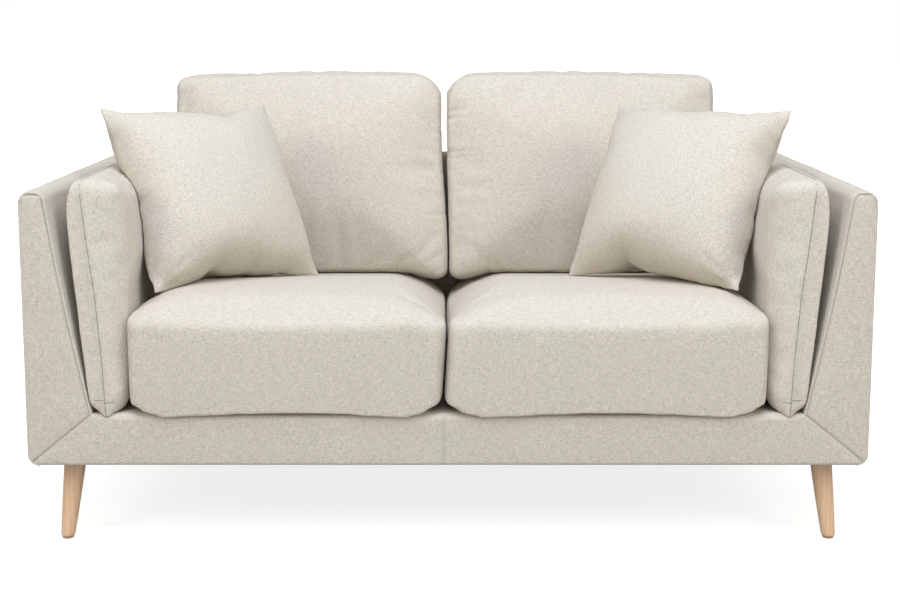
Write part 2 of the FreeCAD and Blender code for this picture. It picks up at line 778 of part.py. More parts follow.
for side, s in (("left", -1), ("right", 1)):
    stem = side + "_throw_pillow"
    outer = pillow_solid(stem + "_outside", levels(S["pillow_puff"], S["pillow_flat"], S["pillow_edge"], S["pillow_half"]))
    inner = pillow_solid(stem + "_inside", levels(S["pillow_puff"] - 2.5, S["pillow_flat"] - 0.5, S["pillow_edge"] - 1, S["pillow_half"] - 3))
    core = pillow_solid(stem + "_filling", levels(S["pillow_puff"] - 3, S["pillow_flat"] - 1.5, S["pillow_edge"] - 1.5, S["pillow_half"] - 5))
    cover = cut(stem + "_cover", outer, inner)
    yaw, lean = math.radians(S["pillow_yaw"].v), math.radians(S["pillow_lean"].v)
    u = V(math.cos(yaw), -s * math.sin(yaw), 0)
    n = V(-s * math.cos(lean) * math.sin(yaw), -math.cos(lean) * math.cos(yaw), math.sin(lean))
    up = n.cross(u)
    turn = FreeCAD.Rotation(u, up, n, "ZXY")
    at = V(s * S["pillow_x"].v, -S["pillow_y"].v, S["pillow_z"].v)
    for o, label in ((cover, "_cover"), (core, "_filling")):
        o.Placement = FreeCAD.Placement(at, turn)
        keep(o, stem + label)

doc.recompute()

# ---------------------------------------------------------------- checks and export
bad = []
for o in doc.Objects:
    if "Invalid" in o.State or "Error" in o.State:
        bad.append((o.Name, o.State))
for o in PARTS:
    if o.Shape.isNull() or not o.Shape.isValid() or not o.Shape.Solids:
        bad.append((o.Label, "shape"))
if bad:
    raise RuntimeError("not sound: %s" % bad)

os.makedirs("parts", exist_ok=True)
for o in PARTS:
    o.Shape.exportStep("parts/%s.step" % o.Label)
print("%d sub-parts written" % len(PARTS))
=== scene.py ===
import math

import bpy
import numpy as np
from mathutils import Matrix, Vector, noise
from mathutils.bvhtree import BVHTree
from mathutils.kdtree import KDTree


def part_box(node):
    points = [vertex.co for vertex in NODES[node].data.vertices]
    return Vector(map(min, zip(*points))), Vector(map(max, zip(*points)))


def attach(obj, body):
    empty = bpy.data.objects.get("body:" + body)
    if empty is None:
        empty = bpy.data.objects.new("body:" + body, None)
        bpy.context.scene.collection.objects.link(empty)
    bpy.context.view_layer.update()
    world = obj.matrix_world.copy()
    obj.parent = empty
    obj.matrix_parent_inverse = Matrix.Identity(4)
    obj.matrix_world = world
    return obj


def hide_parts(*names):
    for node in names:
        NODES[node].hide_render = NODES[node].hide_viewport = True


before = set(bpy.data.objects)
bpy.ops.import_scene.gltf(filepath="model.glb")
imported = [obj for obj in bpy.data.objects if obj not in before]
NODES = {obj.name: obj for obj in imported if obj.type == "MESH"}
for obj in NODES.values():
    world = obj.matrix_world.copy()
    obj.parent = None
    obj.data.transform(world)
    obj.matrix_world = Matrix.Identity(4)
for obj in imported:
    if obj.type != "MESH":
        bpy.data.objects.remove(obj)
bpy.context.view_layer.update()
rng = np.random.default_rng(7)

# ------------------------------------------------------------------ sizes, read from the frame
A_LO, A_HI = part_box("right_arm_cover")
R_LO, R_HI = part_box("front_rail_cover")
ARM_OUT_LOW, ARM_TOP, BASE = A_HI[0], A_HI[2], A_LO[2]
RAIL_TOP = R_HI[2]
FRONT, REAR = R_LO[1], A_HI[1]
ARM_OUT_HIGH = ARM_OUT_LOW - 0.006
ARM_IN_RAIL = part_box("deck_cloth")[1][0] + 0.012
ARM_IN_TOP = ARM_OUT_HIGH - 0.048
BACK_IN_TOP = 0.378
BACK_IN_RAIL = 0.312


def arm_out(z):
    return ARM_OUT_LOW + (z - BASE) * (ARM_OUT_HIGH - ARM_OUT_LOW) / (ARM_TOP - BASE)


def arm_in(z):
    t = max(0.0, min(1.0, (z - RAIL_TOP) / (ARM_TOP - RAIL_TOP)))
    return ARM_IN_RAIL + (z - RAIL_TOP) * (ARM_IN_TOP - ARM_IN_RAIL) / (ARM_TOP - RAIL_TOP) + 0.0045 * math.sin(math.pi * t)


def back_in(z):
    return BACK_IN_RAIL + (z - RAIL_TOP) * (BACK_IN_TOP - BACK_IN_RAIL) / (ARM_TOP - RAIL_TOP)


# ------------------------------------------------------------------ node helpers
class Nodes:
    def __init__(self, name):
        self.mat = bpy.data.materials.new(name)
        self.mat.use_nodes = True
        self.t = self.mat.node_tree
        self.t.nodes.clear()
        self.out = self.t.nodes.new("ShaderNodeOutputMaterial")
        self.bsdf = self.t.nodes.new("ShaderNodeBsdfPrincipled")
        self.t.links.new(self.bsdf.outputs[0], self.out.inputs["Surface"])
        self.coord = self.t.nodes.new("ShaderNodeTexCoord").outputs["Object"]

    def link(self, a, b):
        self.t.links.new(a, b)

    def scaled(self, scale, vec=None):
        m = self.t.nodes.new("ShaderNodeMapping")
        m.inputs["Scale"].default_value = scale
        self.link(vec or self.coord, m.inputs["Vector"])
        return m.outputs[0]

    def noise(self, scale, vec=None, detail=2.0, rough=0.5, size=1.0):
        n = self.t.nodes.new("ShaderNodeTexNoise")
        n.inputs["Scale"].default_value = size
        n.inputs["Detail"].default_value = detail
        n.inputs["Roughness"].default_value = rough
        self.link(self.scaled(scale, vec), n.inputs["Vector"])
        return n.outputs["Fac"]

    def math(self, op, a, b=None, clamp=False):
        n = self.t.nodes.new("ShaderNodeMath")
        n.operation = op
        n.use_clamp = clamp
        for i, x in enumerate((a, b)):
            if x is None:
                continue
            if isinstance(x, (int, float)):
                n.inputs[i].default_value = x
            else:
                self.link(x, n.inputs[i])
        return n.outputs[0]

    def ramp(self, fac, stops):
        n = self.t.nodes.new("ShaderNodeValToRGB")
        e = n.color_ramp.elements
        while len(e) < len(stops):
            e.new(0.5)
        for k, (pos, col) in enumerate(stops):
            e[k].position = pos
            e[k].color = (*col, 1.0)
        self.link(fac, n.inputs["Fac"])
        return n.outputs["Color"]

    def mix(self, fac, a, b, kind="MIX"):
        n = self.t.nodes.new("ShaderNodeMix")
        n.data_type = "RGBA"
        n.blend_type = kind
        for k, x in ((0, fac), (6, a), (7, b)):
            if isinstance(x, (int, float)):
                n.inputs[k].default_value = x
            elif isinstance(x, tuple):
                n.inputs[k].default_value = (*x, 1.0)
            else:
                self.link(x, n.inputs[k])
        return n.outputs[2]

    def bump(self, height, distance, strength=1.0, normal=None):
        n = self.t.nodes.new("ShaderNodeBump")
        n.inputs["Strength"].default_value = strength
        n.inputs["Distance"].default_value = distance
        self.link(height, n.inputs["Height"])
        if normal:
            self.link(normal, n.inputs["Normal"])
        return n.outputs[0]

    def put(self, name, value):
        s = self.bsdf.inputs[name]
        if isinstance(value, (int, float)):
            s.default_value = value
        elif isinstance(value, tuple):
            s.default_value = (*value, 1.0) if len(value) == 3 else value
        else:
            self.link(value, s)


def shade(c, k):
    return tuple(min(1.0, x * k) for x in c)


def fabric_material(name, base, fleck, contrast=1.0, weave=1.0, crease=True):
    """Heathered plain weave: streaks of thread along all three axes, slubs, a fine grain and a little sheen."""
    n = Nodes(name)
    tx = n.noise((110, 760, 760), detail=2.5)
    ty = n.noise((760, 110, 760), detail=2.5)
    tz = n.noise((760, 760, 110), detail=2.5)
    threads = n.math("ADD", n.math("ADD", tx, ty), tz)
    threads = n.math("MULTIPLY", threads, 1 / 3)
    grain = n.noise((1500, 1500, 1500), detail=1.0)
    cloud = n.noise((9, 9, 9), detail=3.0)
    slub = n.noise((380, 380, 380), detail=3.0, rough=0.65)
    mottle = n.math("ADD", n.noise((160, 950, 950), detail=2.0), n.noise((950, 950, 160), detail=2.0))
    col = n.ramp(
        threads,
        [
            (0.36, shade(base, 1 - 0.34 * contrast)),
            (0.50, base),
            (0.62, shade(base, 1 + 0.20 * contrast)),
        ],
    )
    spots = n.math("MULTIPLY", n.math("SUBTRACT", slub, 0.56, True), 2.6 * contrast, True)
    col = n.mix(spots, col, fleck)
    col = n.mix(n.math("MULTIPLY", n.math("SUBTRACT", mottle, 0.98, True), 1.9 * contrast, True), col, shade(base, 0.80))
    col = n.mix(n.math("MULTIPLY", n.math("SUBTRACT", cloud, 0.42, True), 0.22, True), col, shade(base, 0.86))
    # painted shade: along the seams the cloth is darkened by a per-point seam mask, standing in for the shade that
    # falls in the seam grooves
    if crease:
        a = n.t.nodes.new("ShaderNodeAttribute")
        a.attribute_name = "crease"
        col = n.mix(n.math("MULTIPLY", a.outputs["Fac"], 0.26, True), col, shade(base, 0.55))
    n.put("Base Color", col)
    rough = n.math("ADD", n.math("MULTIPLY", grain, 0.14), 0.80)
    n.put("Roughness", rough)
    n.put("Specular IOR Level", 0.22)
    n.put("Sheen Weight", 0.22)
    n.put("Sheen Roughness", 0.45)
    n.put("Sheen Tint", (1.0, 0.97, 0.92))
    h = n.math("ADD", n.math("MULTIPLY", threads, 0.75), n.math("MULTIPLY", grain, 0.25))
    b = n.bump(h, 0.0011 * weave, 0.75)
    b = n.bump(n.noise((34, 34, 34), detail=3.0), 0.0022, 0.35, b)
    n.put("Normal", b)
    return n.mat


def wood_material(name, light, dark, axis=(5, 5, 60), rough=0.42):
    n = Nodes(name)
    sx, sy, sz = axis
    warp = n.noise((7, 7, 2.2), detail=2)
    w = n.t.nodes.new("ShaderNodeTexWave")
    w.wave_type = "RINGS"
    w.rings_direction = "Y"
    w.inputs["Scale"].default_value = 1.0
    w.inputs["Distortion"].default_value = 5.0
    w.inputs["Detail"].default_value = 3.0
    w.inputs["Detail Scale"].default_value = 1.2
    n.link(n.scaled((34, 34, 3.0)), w.inputs["Vector"])
    col = n.ramp(w.outputs["Fac"], [(0.0, shade(light, 1.03)), (0.65, light), (1.0, dark)])
    pores = n.noise((900, 900, 70), detail=2)
    col = n.mix(n.math("MULTIPLY", n.math("SUBTRACT", pores, 0.56, True), 3.0, True), col, shade(dark, 0.8))
    col = n.mix(n.math("MULTIPLY", warp, 0.25), col, shade(light, 0.9))
    n.put("Base Color", col)
    n.put("Roughness", n.math("ADD", n.math("MULTIPLY", pores, 0.2), rough - 0.08))
    n.put("Coat Weight", 0.18)
    n.put("Coat Roughness", 0.25)
    n.put("Normal", n.bump(pores, 0.00025, 0.5))
    return n.mat


def plain_material(name, base, rough=0.6, metal=0.0, grain=400, vary=0.12, bump=0.0003):
    n = Nodes(name)
    f = n.noise((grain, grain, grain), detail=3.0)
    g = n.noise((30, 30, 30), detail=2.0)
    col = n.ramp(f, [(0.3, shade(base, 1 - vary)), (0.7, shade(base, 1 + vary))])
    col = n.mix(n.math("MULTIPLY", g, 0.3), col, shade(base, 1 - vary))
    n.put("Base Color", col)
    n.put("Roughness", n.math("ADD", n.math("MULTIPLY", f, 0.2), rough - 0.1))
    n.put("Metallic", metal)
    n.put("Normal", n.bump(f, bump, 0.6))
    return n.mat


SAND = (0.630, 0.582, 0.490)
FLECK = (0.40, 0.355, 0.28)
FABRIC = fabric_material("sand_weave", SAND, FLECK)
PILLOW = fabric_material("sand_weave_pillow", shade(SAND, 1.0), FLECK, contrast=1.15)
# seam cords: the stitched seams drawn as thin tubes, coloured darker than the cloth as painted shade for the shadow
# line in each seam; the side cushions' cords are darker still
SHADED_SEAM = fabric_material("sand_seam", shade(SAND, 0.72), shade(FLECK, 0.8), contrast=0.6, crease=False)
DARKER_SHADED_SEAM = fabric_material("sand_seam_line", shade(SAND, 0.42), shade(FLECK, 0.5), contrast=0.6, crease=False)
DECK = fabric_material("lining_cloth", (0.60, 0.56, 0.48), (0.45, 0.40, 0.33), contrast=0.5, crease=False)
DUST = plain_material("black_nonwoven", (0.018, 0.018, 0.018), rough=0.9, grain=700, vary=0.4, bump=0.0006)
BEECH = wood_material("beech", (0.86, 0.570, 0.355), (0.80, 0.515, 0.305))
PINE = wood_material("sawn_pine", (0.62, 0.43, 0.24), (0.45, 0.27, 0.13), rough=0.7)
PLY = wood_material("plywood", (0.60, 0.45, 0.28), (0.47, 0.32, 0.18), rough=0.7)
HARD = plain_material("hardboard", (0.20, 0.11, 0.055), rough=0.75, grain=500)
FOAM = plain_material("foam", (0.78, 0.74, 0.60), rough=0.95, grain=900, bump=0.0006)
FELT = plain_material("felt", (0.16, 0.16, 0.165), rough=0.95, grain=800, vary=0.35, bump=0.0008)
WEBBING = fabric_material("elastic_web", (0.10, 0.09, 0.075), (0.05, 0.045, 0.04), crease=False)
SPRING = plain_material("spring_wire", (0.16, 0.16, 0.17), rough=0.4, metal=1.0)
ZINC = plain_material("zinc_plate", (0.55, 0.56, 0.58), rough=0.38, metal=1.0)
GLIDE = plain_material("glide_plastic", (0.50, 0.35, 0.235), rough=0.55, grain=600)


# ------------------------------------------------------------------ mesh helpers
def make(name, verts, faces, mat, smooth=True, extra=()):
    me = bpy.data.meshes.new(name)
    me.from_pydata([tuple(v) for v in verts], [], [tuple(f) for f in faces])
    me.validate()
    me.polygons.foreach_set("use_smooth", [smooth] * len(me.polygons))
    me.materials.append(mat)
    for m in extra:
        me.materials.append(m)
    ob = bpy.data.objects.new(name, me)
    bpy.context.scene.collection.objects.link(ob)
    return ob


def grid(rows, wrap=False):
    """rows: list of equal-length point lists. Returns verts, faces."""
    n, m = len(rows), len(rows[0])
    verts = [p for r in rows for p in r]
    faces = []
    for i in range(n - 1):
        for j in range(m if wrap else m - 1):
            k = (j + 1) % m
            faces.append((i * m + j, i * m + k, (i + 1) * m + k, (i + 1) * m + j))
    return verts, faces


def merge(parts):
    verts, faces = [], []
    for v, f in parts:
        b = len(verts)
        verts += list(v)
        faces += [tuple(i + b for i in q) for q in f]
    return verts, faces


def flip(part):
    v, f = part
    return v, [tuple(reversed(q)) for q in f]


def coords(me):
    a = np.empty(len(me.vertices) * 3)
    me.vertices.foreach_get("co", a)
    return a.reshape(-1, 3)


def set_coords(me, a):
    me.vertices.foreach_set("co", np.asarray(a, dtype=np.float32).ravel())
    me.update()


def normals(me):
    a = np.empty(len(me.vertices) * 3)
    me.vertices.foreach_get("normal", a)
    return a.reshape(-1, 3)


# stores the per-point seam mask that the fabric materials darken by: painted shade along the seams
def set_painted_seam_shade(me, values):
    if "crease" in me.attributes:
        me.attributes.remove(me.attributes["crease"])
    a = me.attributes.new("crease", "FLOAT", "POINT")
    a.data.foreach_set("value", np.asarray(values, dtype=np.float32))


def baked(ob):
    """The object's mesh with its modifiers applied, and the modifiers removed."""
    dg = bpy.context.evaluated_depsgraph_get()
    dg.update()
    me = bpy.data.meshes.new_from_object(ob.evaluated_get(dg))
    old = ob.data
    ob.modifiers.clear()
    ob.data = me
    me.name = ob.name
    if old.users == 0:
        bpy.data.meshes.remove(old)
    me.polygons.foreach_set("use_smooth", [True] * len(me.polygons))
    return me


def remeshed(ob, voxel):
    m = ob.modifiers.new("r", "REMESH")
    m.mode = "VOXEL"
    m.voxel_size = voxel
    m.adaptivity = 0.0
    me = baked(ob)
    s = ob.modifiers.new("s", "SMOOTH")
    s.factor = 0.5
    s.iterations = 3
    return baked(ob)


def subdivided(ob, levels=1):
    m = ob.modifiers.new("s", "SUBSURF")
    m.levels = levels
    m.render_levels = levels
    return baked(ob)


def arc_fillet(pts, radii, step=0.004):
    """An open 2-D polyline with rounded corners, as an array of points."""
    pts = [np.array(p, float) for p in pts]
    out = [pts[0]]
    for i in range(1, len(pts) - 1):
        r = radii[i]
        a, b, c = pts[i - 1], pts[i], pts[i + 1]
        u, v = (a - b) / np.linalg.norm(a - b), (c - b) / np.linalg.norm(c - b)
        ang = math.acos(max(-1, min(1, float(u @ v))))
        if r <= 0:
            out.append(b)
            continue
        t = r / math.tan(ang / 2)
        m = (u + v) / np.linalg.norm(u + v)
        centre = b + m * (r / math.sin(ang / 2))
        p, q = b + u * t - centre, b + v * t - centre
        a0, a1 = math.atan2(p[1], p[0]), math.atan2(q[1], q[0])
        d = (a1 - a0 + math.pi) % (2 * math.pi) - math.pi
        n = max(4, int(abs(d) * r / step))
        for k in range(n + 1):
            th = a0 + d * k / n
            out.append(centre + r * np.array([math.cos(th), math.sin(th)]))
    out.append(pts[-1])
    return np.array(out)


def resample(line, step, closed=False):
    """Points along a polyline, none further apart than step, corners kept."""
    pts = list(line)
    if closed:
        pts = pts + [pts[0]]
    out = []
    for a, b in zip(pts, pts[1:]):
        n = max(1, int(math.ceil(np.linalg.norm(b - a) / step)))
        for k in range(n):
            out.append(a + (b - a) * k / n)
    if not closed:
        out.append(pts[-1])
    return np.array(out)


def even(line, n, closed=False):
    """n points at equal distances along a polyline."""
    p = np.array(line, float)
    if closed:
        p = np.vstack([p, p[:1]])
    seg = np.linalg.norm(np.diff(p, axis=0), axis=1)
    s = np.concatenate([[0], np.cumsum(seg)])
    t = np.linspace(0, s[-1], n + 1)[:-1] if closed else np.linspace(0, s[-1], n)
    return np.stack([np.interp(t, s, p[:, k]) for k in range(p.shape[1])], axis=1)


def line_normals(line, closed=False):
    """Left-hand normals of a 2-D polyline."""
    if closed:
        d = np.roll(line, -1, 0) - np.roll(line, 1, 0)
    else:
        d = np.gradient(line, axis=0)
    d /= np.linalg.norm(d, axis=1)[:, None] + 1e-12
    return np.stack([-d[:, 1], d[:, 0]], axis=1)


def tube(path, radius, sides=6, closed=False):
    """A thin tube along a 3-D polyline."""
    p = np.array(path, float)
    if closed:
        d = np.roll(p, -1, 0) - np.roll(p, 1, 0)
    else:
        d = np.gradient(p, axis=0)
    d /= np.linalg.norm(d, axis=1)[:, None] + 1e-12
    ref = np.array([0.0, 0.0, 1.0]) if abs(d[0][2]) < 0.9 else np.array([1.0, 0, 0])
    rings = []
    n = ref - d[0] * (ref @ d[0])
    n /= np.linalg.norm(n)
    for k in range(len(p)):
        n = n - d[k] * (n @ d[k])
        n /= np.linalg.norm(n) + 1e-12
        b = np.cross(d[k], n)
        rings.append(
            [
                p[k] + radius * (math.cos(2 * math.pi * j / sides) * n + math.sin(2 * math.pi * j / sides) * b)
                for j in range(sides)
            ]
        )
    if closed:
        rings.append(rings[0])
    return grid(rings, wrap=True)


def soft_noise(p, size, seed=0.0):
    return noise.noise(Vector((p[0] / size + seed, p[1] / size - seed * 0.7, p[2] / size + 3.1 * seed)))


def add_geometry(ob, part, slot_index):
    """Joins verts and faces onto an object's mesh, in another of its material slots."""
    me = ob.data
    import bmesh

    bm = bmesh.new()
    bm.from_mesh(me)
    v, f = part
    vs = [bm.verts.new(tuple(p)) for p in v]
    for q in f:
        try:
            face = bm.faces.new([vs[i] for i in q])
            face.material_index = slot_index
            face.smooth = True
        except ValueError:
            pass
    bm.to_mesh(me)
    bm.free()


def finish_piece(ob, body, replaces):
    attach(ob, body)
    if replaces:
        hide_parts(*replaces)
    return ob


# ------------------------------------------------------------------ arms
EDGE = 0.0040  # the fold from a face to the front seam
CORNER = 0.0210  # round of the lower outer corner


def mm(x):
    return x / 1000.0


def mirror_part(part, s):
    if s > 0:
        return part
    v, f = part
    return [(-p[0], p[1], p[2]) for p in v], [tuple(reversed(q)) for q in f]


def dip(d, depth, width):
    return depth * math.exp(-((d / width) ** 2))


def dome(x, z):
    mid = (arm_out(ARM_TOP) + arm_in(ARM_TOP)) / 2
    t = max(0.0, min(1.0, (z - (ARM_TOP - 0.030)) / 0.030))
    return 0.0045 * max(0.0, 1 - ((x - mid) / 0.027) ** 2) * t * t * (3 - 2 * t)


def arm_parts(seed):
    line = arc_fillet(
        [
            (arm_out(BASE) - CORNER - 0.0002, BASE),
            (arm_out(BASE), BASE),
            (arm_out(ARM_TOP), ARM_TOP),
            (arm_in(ARM_TOP), ARM_TOP),
        ]
        + [(arm_in(z), z) for z in np.linspace(ARM_TOP - 0.05, RAIL_TOP - 0.006, 12)],
        [0, CORNER, 0.0195, 0.015] + [0] * 12,
        0.002,
    )
    line = resample(line, 0.004)
    # drop near-duplicates
    keep = [0] + [i for i in range(1, len(line)) if np.linalg.norm(line[i] - line[i - 1]) > 1e-5]
    line = line[keep]
    inward = line_normals(line)
    # counter-clockwise from the outer foot over the top: left-hand normals point inwards
    rows = []
    r = EDGE

    def ring(y, d, bulge=0.0):
        out = []
        for p, n in zip(line, inward):
            q = p + n * d
            on_outer = p[0] > (arm_out(p[1]) + arm_in(p[1])) / 2 and BASE + 0.004 < p[1] < ARM_TOP - 0.02
            b = 0.0
            if on_outer:
                a = max(0.0, min(1.0, (p[1] - BASE) / (ARM_TOP - BASE)))
                b = bulge * 4 * a * (1 - a) * 0.0035
            wob = soft_noise((q[0], y, q[1]), 0.16, seed) * 0.0011 * (1 if bulge > 0 else 0.25)
            inner = p[0] < (arm_out(p[1]) + arm_in(p[1])) / 2 and p[1] < ARM_TOP - 0.02
            if inner:
                wob = -abs(wob) * 0.6
            lift = dome(p[0], p[1])
            q = q - n * (b + wob)
            out.append((q[0], y, q[1] + lift))
        return out

    # front rim, seam outwards
    rows.append(ring(FRONT + 0.0030, r + 0.0014))
    rows.append(ring(FRONT + 0.0012, r + 0.0006))
    rows.append(ring(FRONT + 0.0001, r - 0.0004))
    for k in range(0, 7):
        th = math.pi / 2 * (k / 6)
        rows.append(ring(FRONT + (r - 0.001) * (1 - math.cos(th)), (r - 0.001) * (1 - math.sin(th)), 0.0))
    ys = np.linspace(FRONT + r + 0.008, REAR - r - 0.008, 56)
    for y in ys:
        a = (y - ys[0]) / (ys[-1] - ys[0])
        rows.append(ring(y, 0.0, min(1.0, 8 * a, 8 * (1 - a)) + 1e-6))
    for k in range(0, 7):
        th = math.pi / 2 * (1 - k / 6)
        rows.append(ring(REAR - (r - 0.001) * (1 - math.cos(th)), (r - 0.001) * (1 - math.sin(th)), 0.0))
    rows.append(ring(REAR - 0.0001, r - 0.0004))
    rows.append(ring(REAR - 0.0012, r + 0.0006))
    rows.append(ring(REAR - 0.0030, r + 0.0014))
    sleeve = grid(rows)
    return sleeve


SLOPE = (RAIL_TOP - BASE) / (ARM_OUT_LOW - ARM_IN_RAIL)


def mitre_z(x):
    return BASE + (ARM_OUT_LOW - x) * SLOPE


def end_panel(y, sign, front, seed):
    """The panel on an arm's end: sign -1 faces the front."""
    us = np.concatenate([np.linspace(0, 0.12, 7), np.linspace(0.12, 0.88, 16)[1:-1], np.linspace(0.88, 1, 7)])
    vs = np.concatenate([np.linspace(0, 0.03, 7), np.linspace(0.03, 0.97, 64)[1:-1], np.linspace(0.97, 1, 7)])
    t = EDGE + 0.0006
    to = EDGE - 0.0008
    rows = []
    for v in vs:
        row = []
        for u in us:
            zt = ARM_TOP - t
            rr, ro = 0.0105, 0.0160
            eo = max(0.0, ro - (ARM_TOP - to - (BASE + (zt - BASE) * v)))
            cuto = ro - math.sqrt(max(0.0, ro * ro - eo * eo))
            zv = BASE + (zt - BASE) * v
            e = max(0.0, rr - (zt - zv))
            cut = rr - math.sqrt(max(0.0, rr * rr - e * e))
            xt = (arm_out(zt) - to - cuto / max(v, 0.5)) * (1 - u) + (arm_in(zt) + t + cut / max(v, 0.5)) * u
            if front:
                xb = (arm_out(BASE + 0.004) - to) * (1 - u) + (arm_in(RAIL_TOP - 0.01) + t) * u
                zb = mitre_z(xb) + 0.0006
            else:
                xb = (arm_out(BASE) - to) * (1 - u) + (arm_in(BASE) + 0.0006) * u
                zb = BASE + 0.0004
            x, z = xb + (xt - xb) * v, zb + (zt - zb) * v
            # follow the bow of the inner face
            x += u * (arm_in(z) + t - (xb + (xt - xb) * v)) if (u > 0.999 and z > RAIL_TOP) else u * 0.0045 * math.sin(math.pi * max(0.0, min(1.0, (z - RAIL_TOP) / (ARM_TOP - RAIL_TOP))))
            e = max(0.0, CORNER - to - (z - BASE))
            x = min(x, arm_out(z) - to - ((CORNER - to) - math.sqrt(max(0.0, (CORNER - to) ** 2 - e * e))))
            do = arm_out(z) - to - x
            di = x - arm_in(z) - t if front else x - arm_in(z) - t * min(1, max(0, (z - 0.25) / 0.02))
            dt = zt - z
            db = (z - mitre_z(x)) * 0.78 if front else 1.0
            d = max(0.0, min(do, di, dt))
            puff = 0.0020 * (1 - math.exp(-min(d, max(0.0, db)) / 0.010))
            rim = 0.0003 if do < min(di, dt) and z < ARM_TOP - 0.02 else 0.0020
            off = puff - dip(d, rim, 0.0022) - (dip(db, 0.0014, 0.0020) if front else 0)
            off += soft_noise((x, 0.3, z), 0.07, seed) * 0.0006
            row.append((x, y + sign * off, z + dome(x, z)))
        rows.append(row)
    return grid(rows) if sign > 0 else flip(grid(rows))


# painted seam shade: the mask is 1 on the given seam lines and falls off within a few millimetres of them
def painted_seam_shade_from_lines(ob, lines, width=0.0032):
    me = ob.data
    pts = np.vstack([resample(np.array(l), 0.003) for l in lines])
    kd = KDTree(len(pts))
    for i, p in enumerate(pts):
        kd.insert(Vector(p), i)
    kd.balance()
    c = coords(me)
    d = np.array([kd.find(Vector(p))[2] for p in c])
    set_painted_seam_shade(me, np.exp(-((d / width) ** 2)))


def arm_outline_at(d, y, s, bottom):
    """The seam line on an arm's end, drawn in by d."""
    line = arc_fillet(
        [
            (arm_out(bottom) - d, bottom),
            (arm_out(ARM_TOP) - d, ARM_TOP - d),
            (arm_in(ARM_TOP) + d, ARM_TOP - d),
        ]
        + [(arm_in(z) + d, z) for z in np.linspace(ARM_TOP - 0.04, RAIL_TOP, 14)],
        [0, 0.0155, 0.0110] + [0] * 14,
        0.002,
    )
    # the outer edge is folded, so the seam shows over the top and down the inside only
    return [(s * p[0], y, p[1] + dome(p[0], p[1])) for p in line if p[1] > ARM_TOP - 0.016 or p[0] < arm_out(p[1]) - 0.02]


SOFT = []
for side, s, seed in (("left", -1, 3.3), ("right", 1, 8.1)):
    body = mirror_part(arm_parts(seed), s)
    front = mirror_part(end_panel(FRONT, -1, True, seed), s)
    rear = mirror_part(end_panel(REAR, 1, False, seed), s)
    arm = make(side + "_arm_upholstery", *merge([body, front, rear]), FABRIC, extra=[SHADED_SEAM])
    arm_lines = [
        arm_outline_at(EDGE + 0.0012, FRONT, s, mitre_z(arm_out(BASE) - EDGE)),
        [(s * x, FRONT, mitre_z(x)) for x in np.linspace(ARM_IN_RAIL + 0.004, ARM_OUT_LOW - 0.006, 20)],
    ]
    # painted shade along the arm's front seam and mitre, and a seam cord coloured darker than the cloth as painted
    # shade
    painted_seam_shade_from_lines(arm, arm_lines)
    stitch = tube(
        resample(np.array(arm_outline_at(EDGE + 0.0012, FRONT + 0.0014, s, mitre_z(arm_out(BASE) - EDGE))), 0.008),
        0.0005,
    )
    add_geometry(arm, stitch, 1)
    finish_piece(arm, "frame", [side + "_arm_cover", side + "_arm_fascia", side + "_arm_padding"])

# ------------------------------------------------------------------ front rail
prof_r = 0.011
RAIL_END = ARM_OUT_LOW - 0.355 * CORNER
xs = np.unique(
    np.concatenate(
        [
            -RAIL_END + (RAIL_END - ARM_IN_RAIL) * np.linspace(0, 1, 44) ** 1.5,
            np.linspace(-ARM_IN_RAIL, -0.03, 60),
            np.linspace(-0.03, 0.03, 31),
            np.linspace(0.03, ARM_IN_RAIL, 60),
            RAIL_END - (RAIL_END - ARM_IN_RAIL) * np.linspace(0, 1, 44) ** 1.5,
        ]
    )
)
SEAM_X = -0.0085
rows = []
vs = np.concatenate([np.linspace(0, 0.12, 8), np.linspace(0.12, 0.88, 14)[1:-1], np.linspace(0.88, 1, 9)])
for x in xs:
    ax = abs(x)
    zt = RAIL_TOP if ax <= ARM_IN_RAIL else mitre_z(ax)
    inside = ax < ARM_IN_RAIL - 0.0005
    row = []
    over = max(0.0, ax - (ARM_OUT_LOW - CORNER))
    zlow = BASE + CORNER - math.sqrt(max(0.0, CORNER**2 - over**2))
    zt = max(zt, zlow + 0.0002)
    row.append((x, FRONT + 0.016, zlow - 0.0004))
    row.append((x, FRONT + 0.011, zlow - 0.0004))
    for v in vs:
        z = zlow + (zt - zlow) * v
        db = z - zlow
        y = FRONT
        if db < 0.007:
            k = 1 - db / 0.007
            y += 0.007 * (1 - math.sqrt(max(0.0, 1 - k * k)))
        dm = (mitre_z(ax) - z) * 0.78
        off = 0.0016 * (1 - math.exp(-max(0.0, min(db, dm if ax > 0.5 else 1)) / 0.014))
        off -= dip(dm, 0.0014, 0.0020) if dm < 0.03 else 0.0
        dx = abs(x - SEAM_X)
        off -= dip(dx, 0.0011, 0.0020)
        off += 0.0005 * math.exp(-(((dx - 0.008) / 0.005) ** 2))
        off += soft_noise((x, 0.7, z), 0.09, 5.0) * 0.0008
        if ax > ARM_OUT_LOW - EDGE - 0.002:
            off -= 0.0015
        if inside:
            dt = zt - z
            if dt < prof_r:
                k = 1 - dt / prof_r
                y += prof_r * (1 - math.sqrt(max(0.0, 1 - k * k)))
                off *= dt / prof_r
        row.append((x, y - off, z))
    if inside:
        for y in (FRONT + 0.016, FRONT + 0.03, FRONT + 0.06, FRONT + 0.0995):
            row.append((x, y, RAIL_TOP))
    else:
        for k in range(4):
            row.append((x, row[-1][1] + 0.0002, row[-1][2]))
    rows.append(row)
rail = make("front_rail_upholstery", *grid(rows), FABRIC, extra=[SHADED_SEAM])
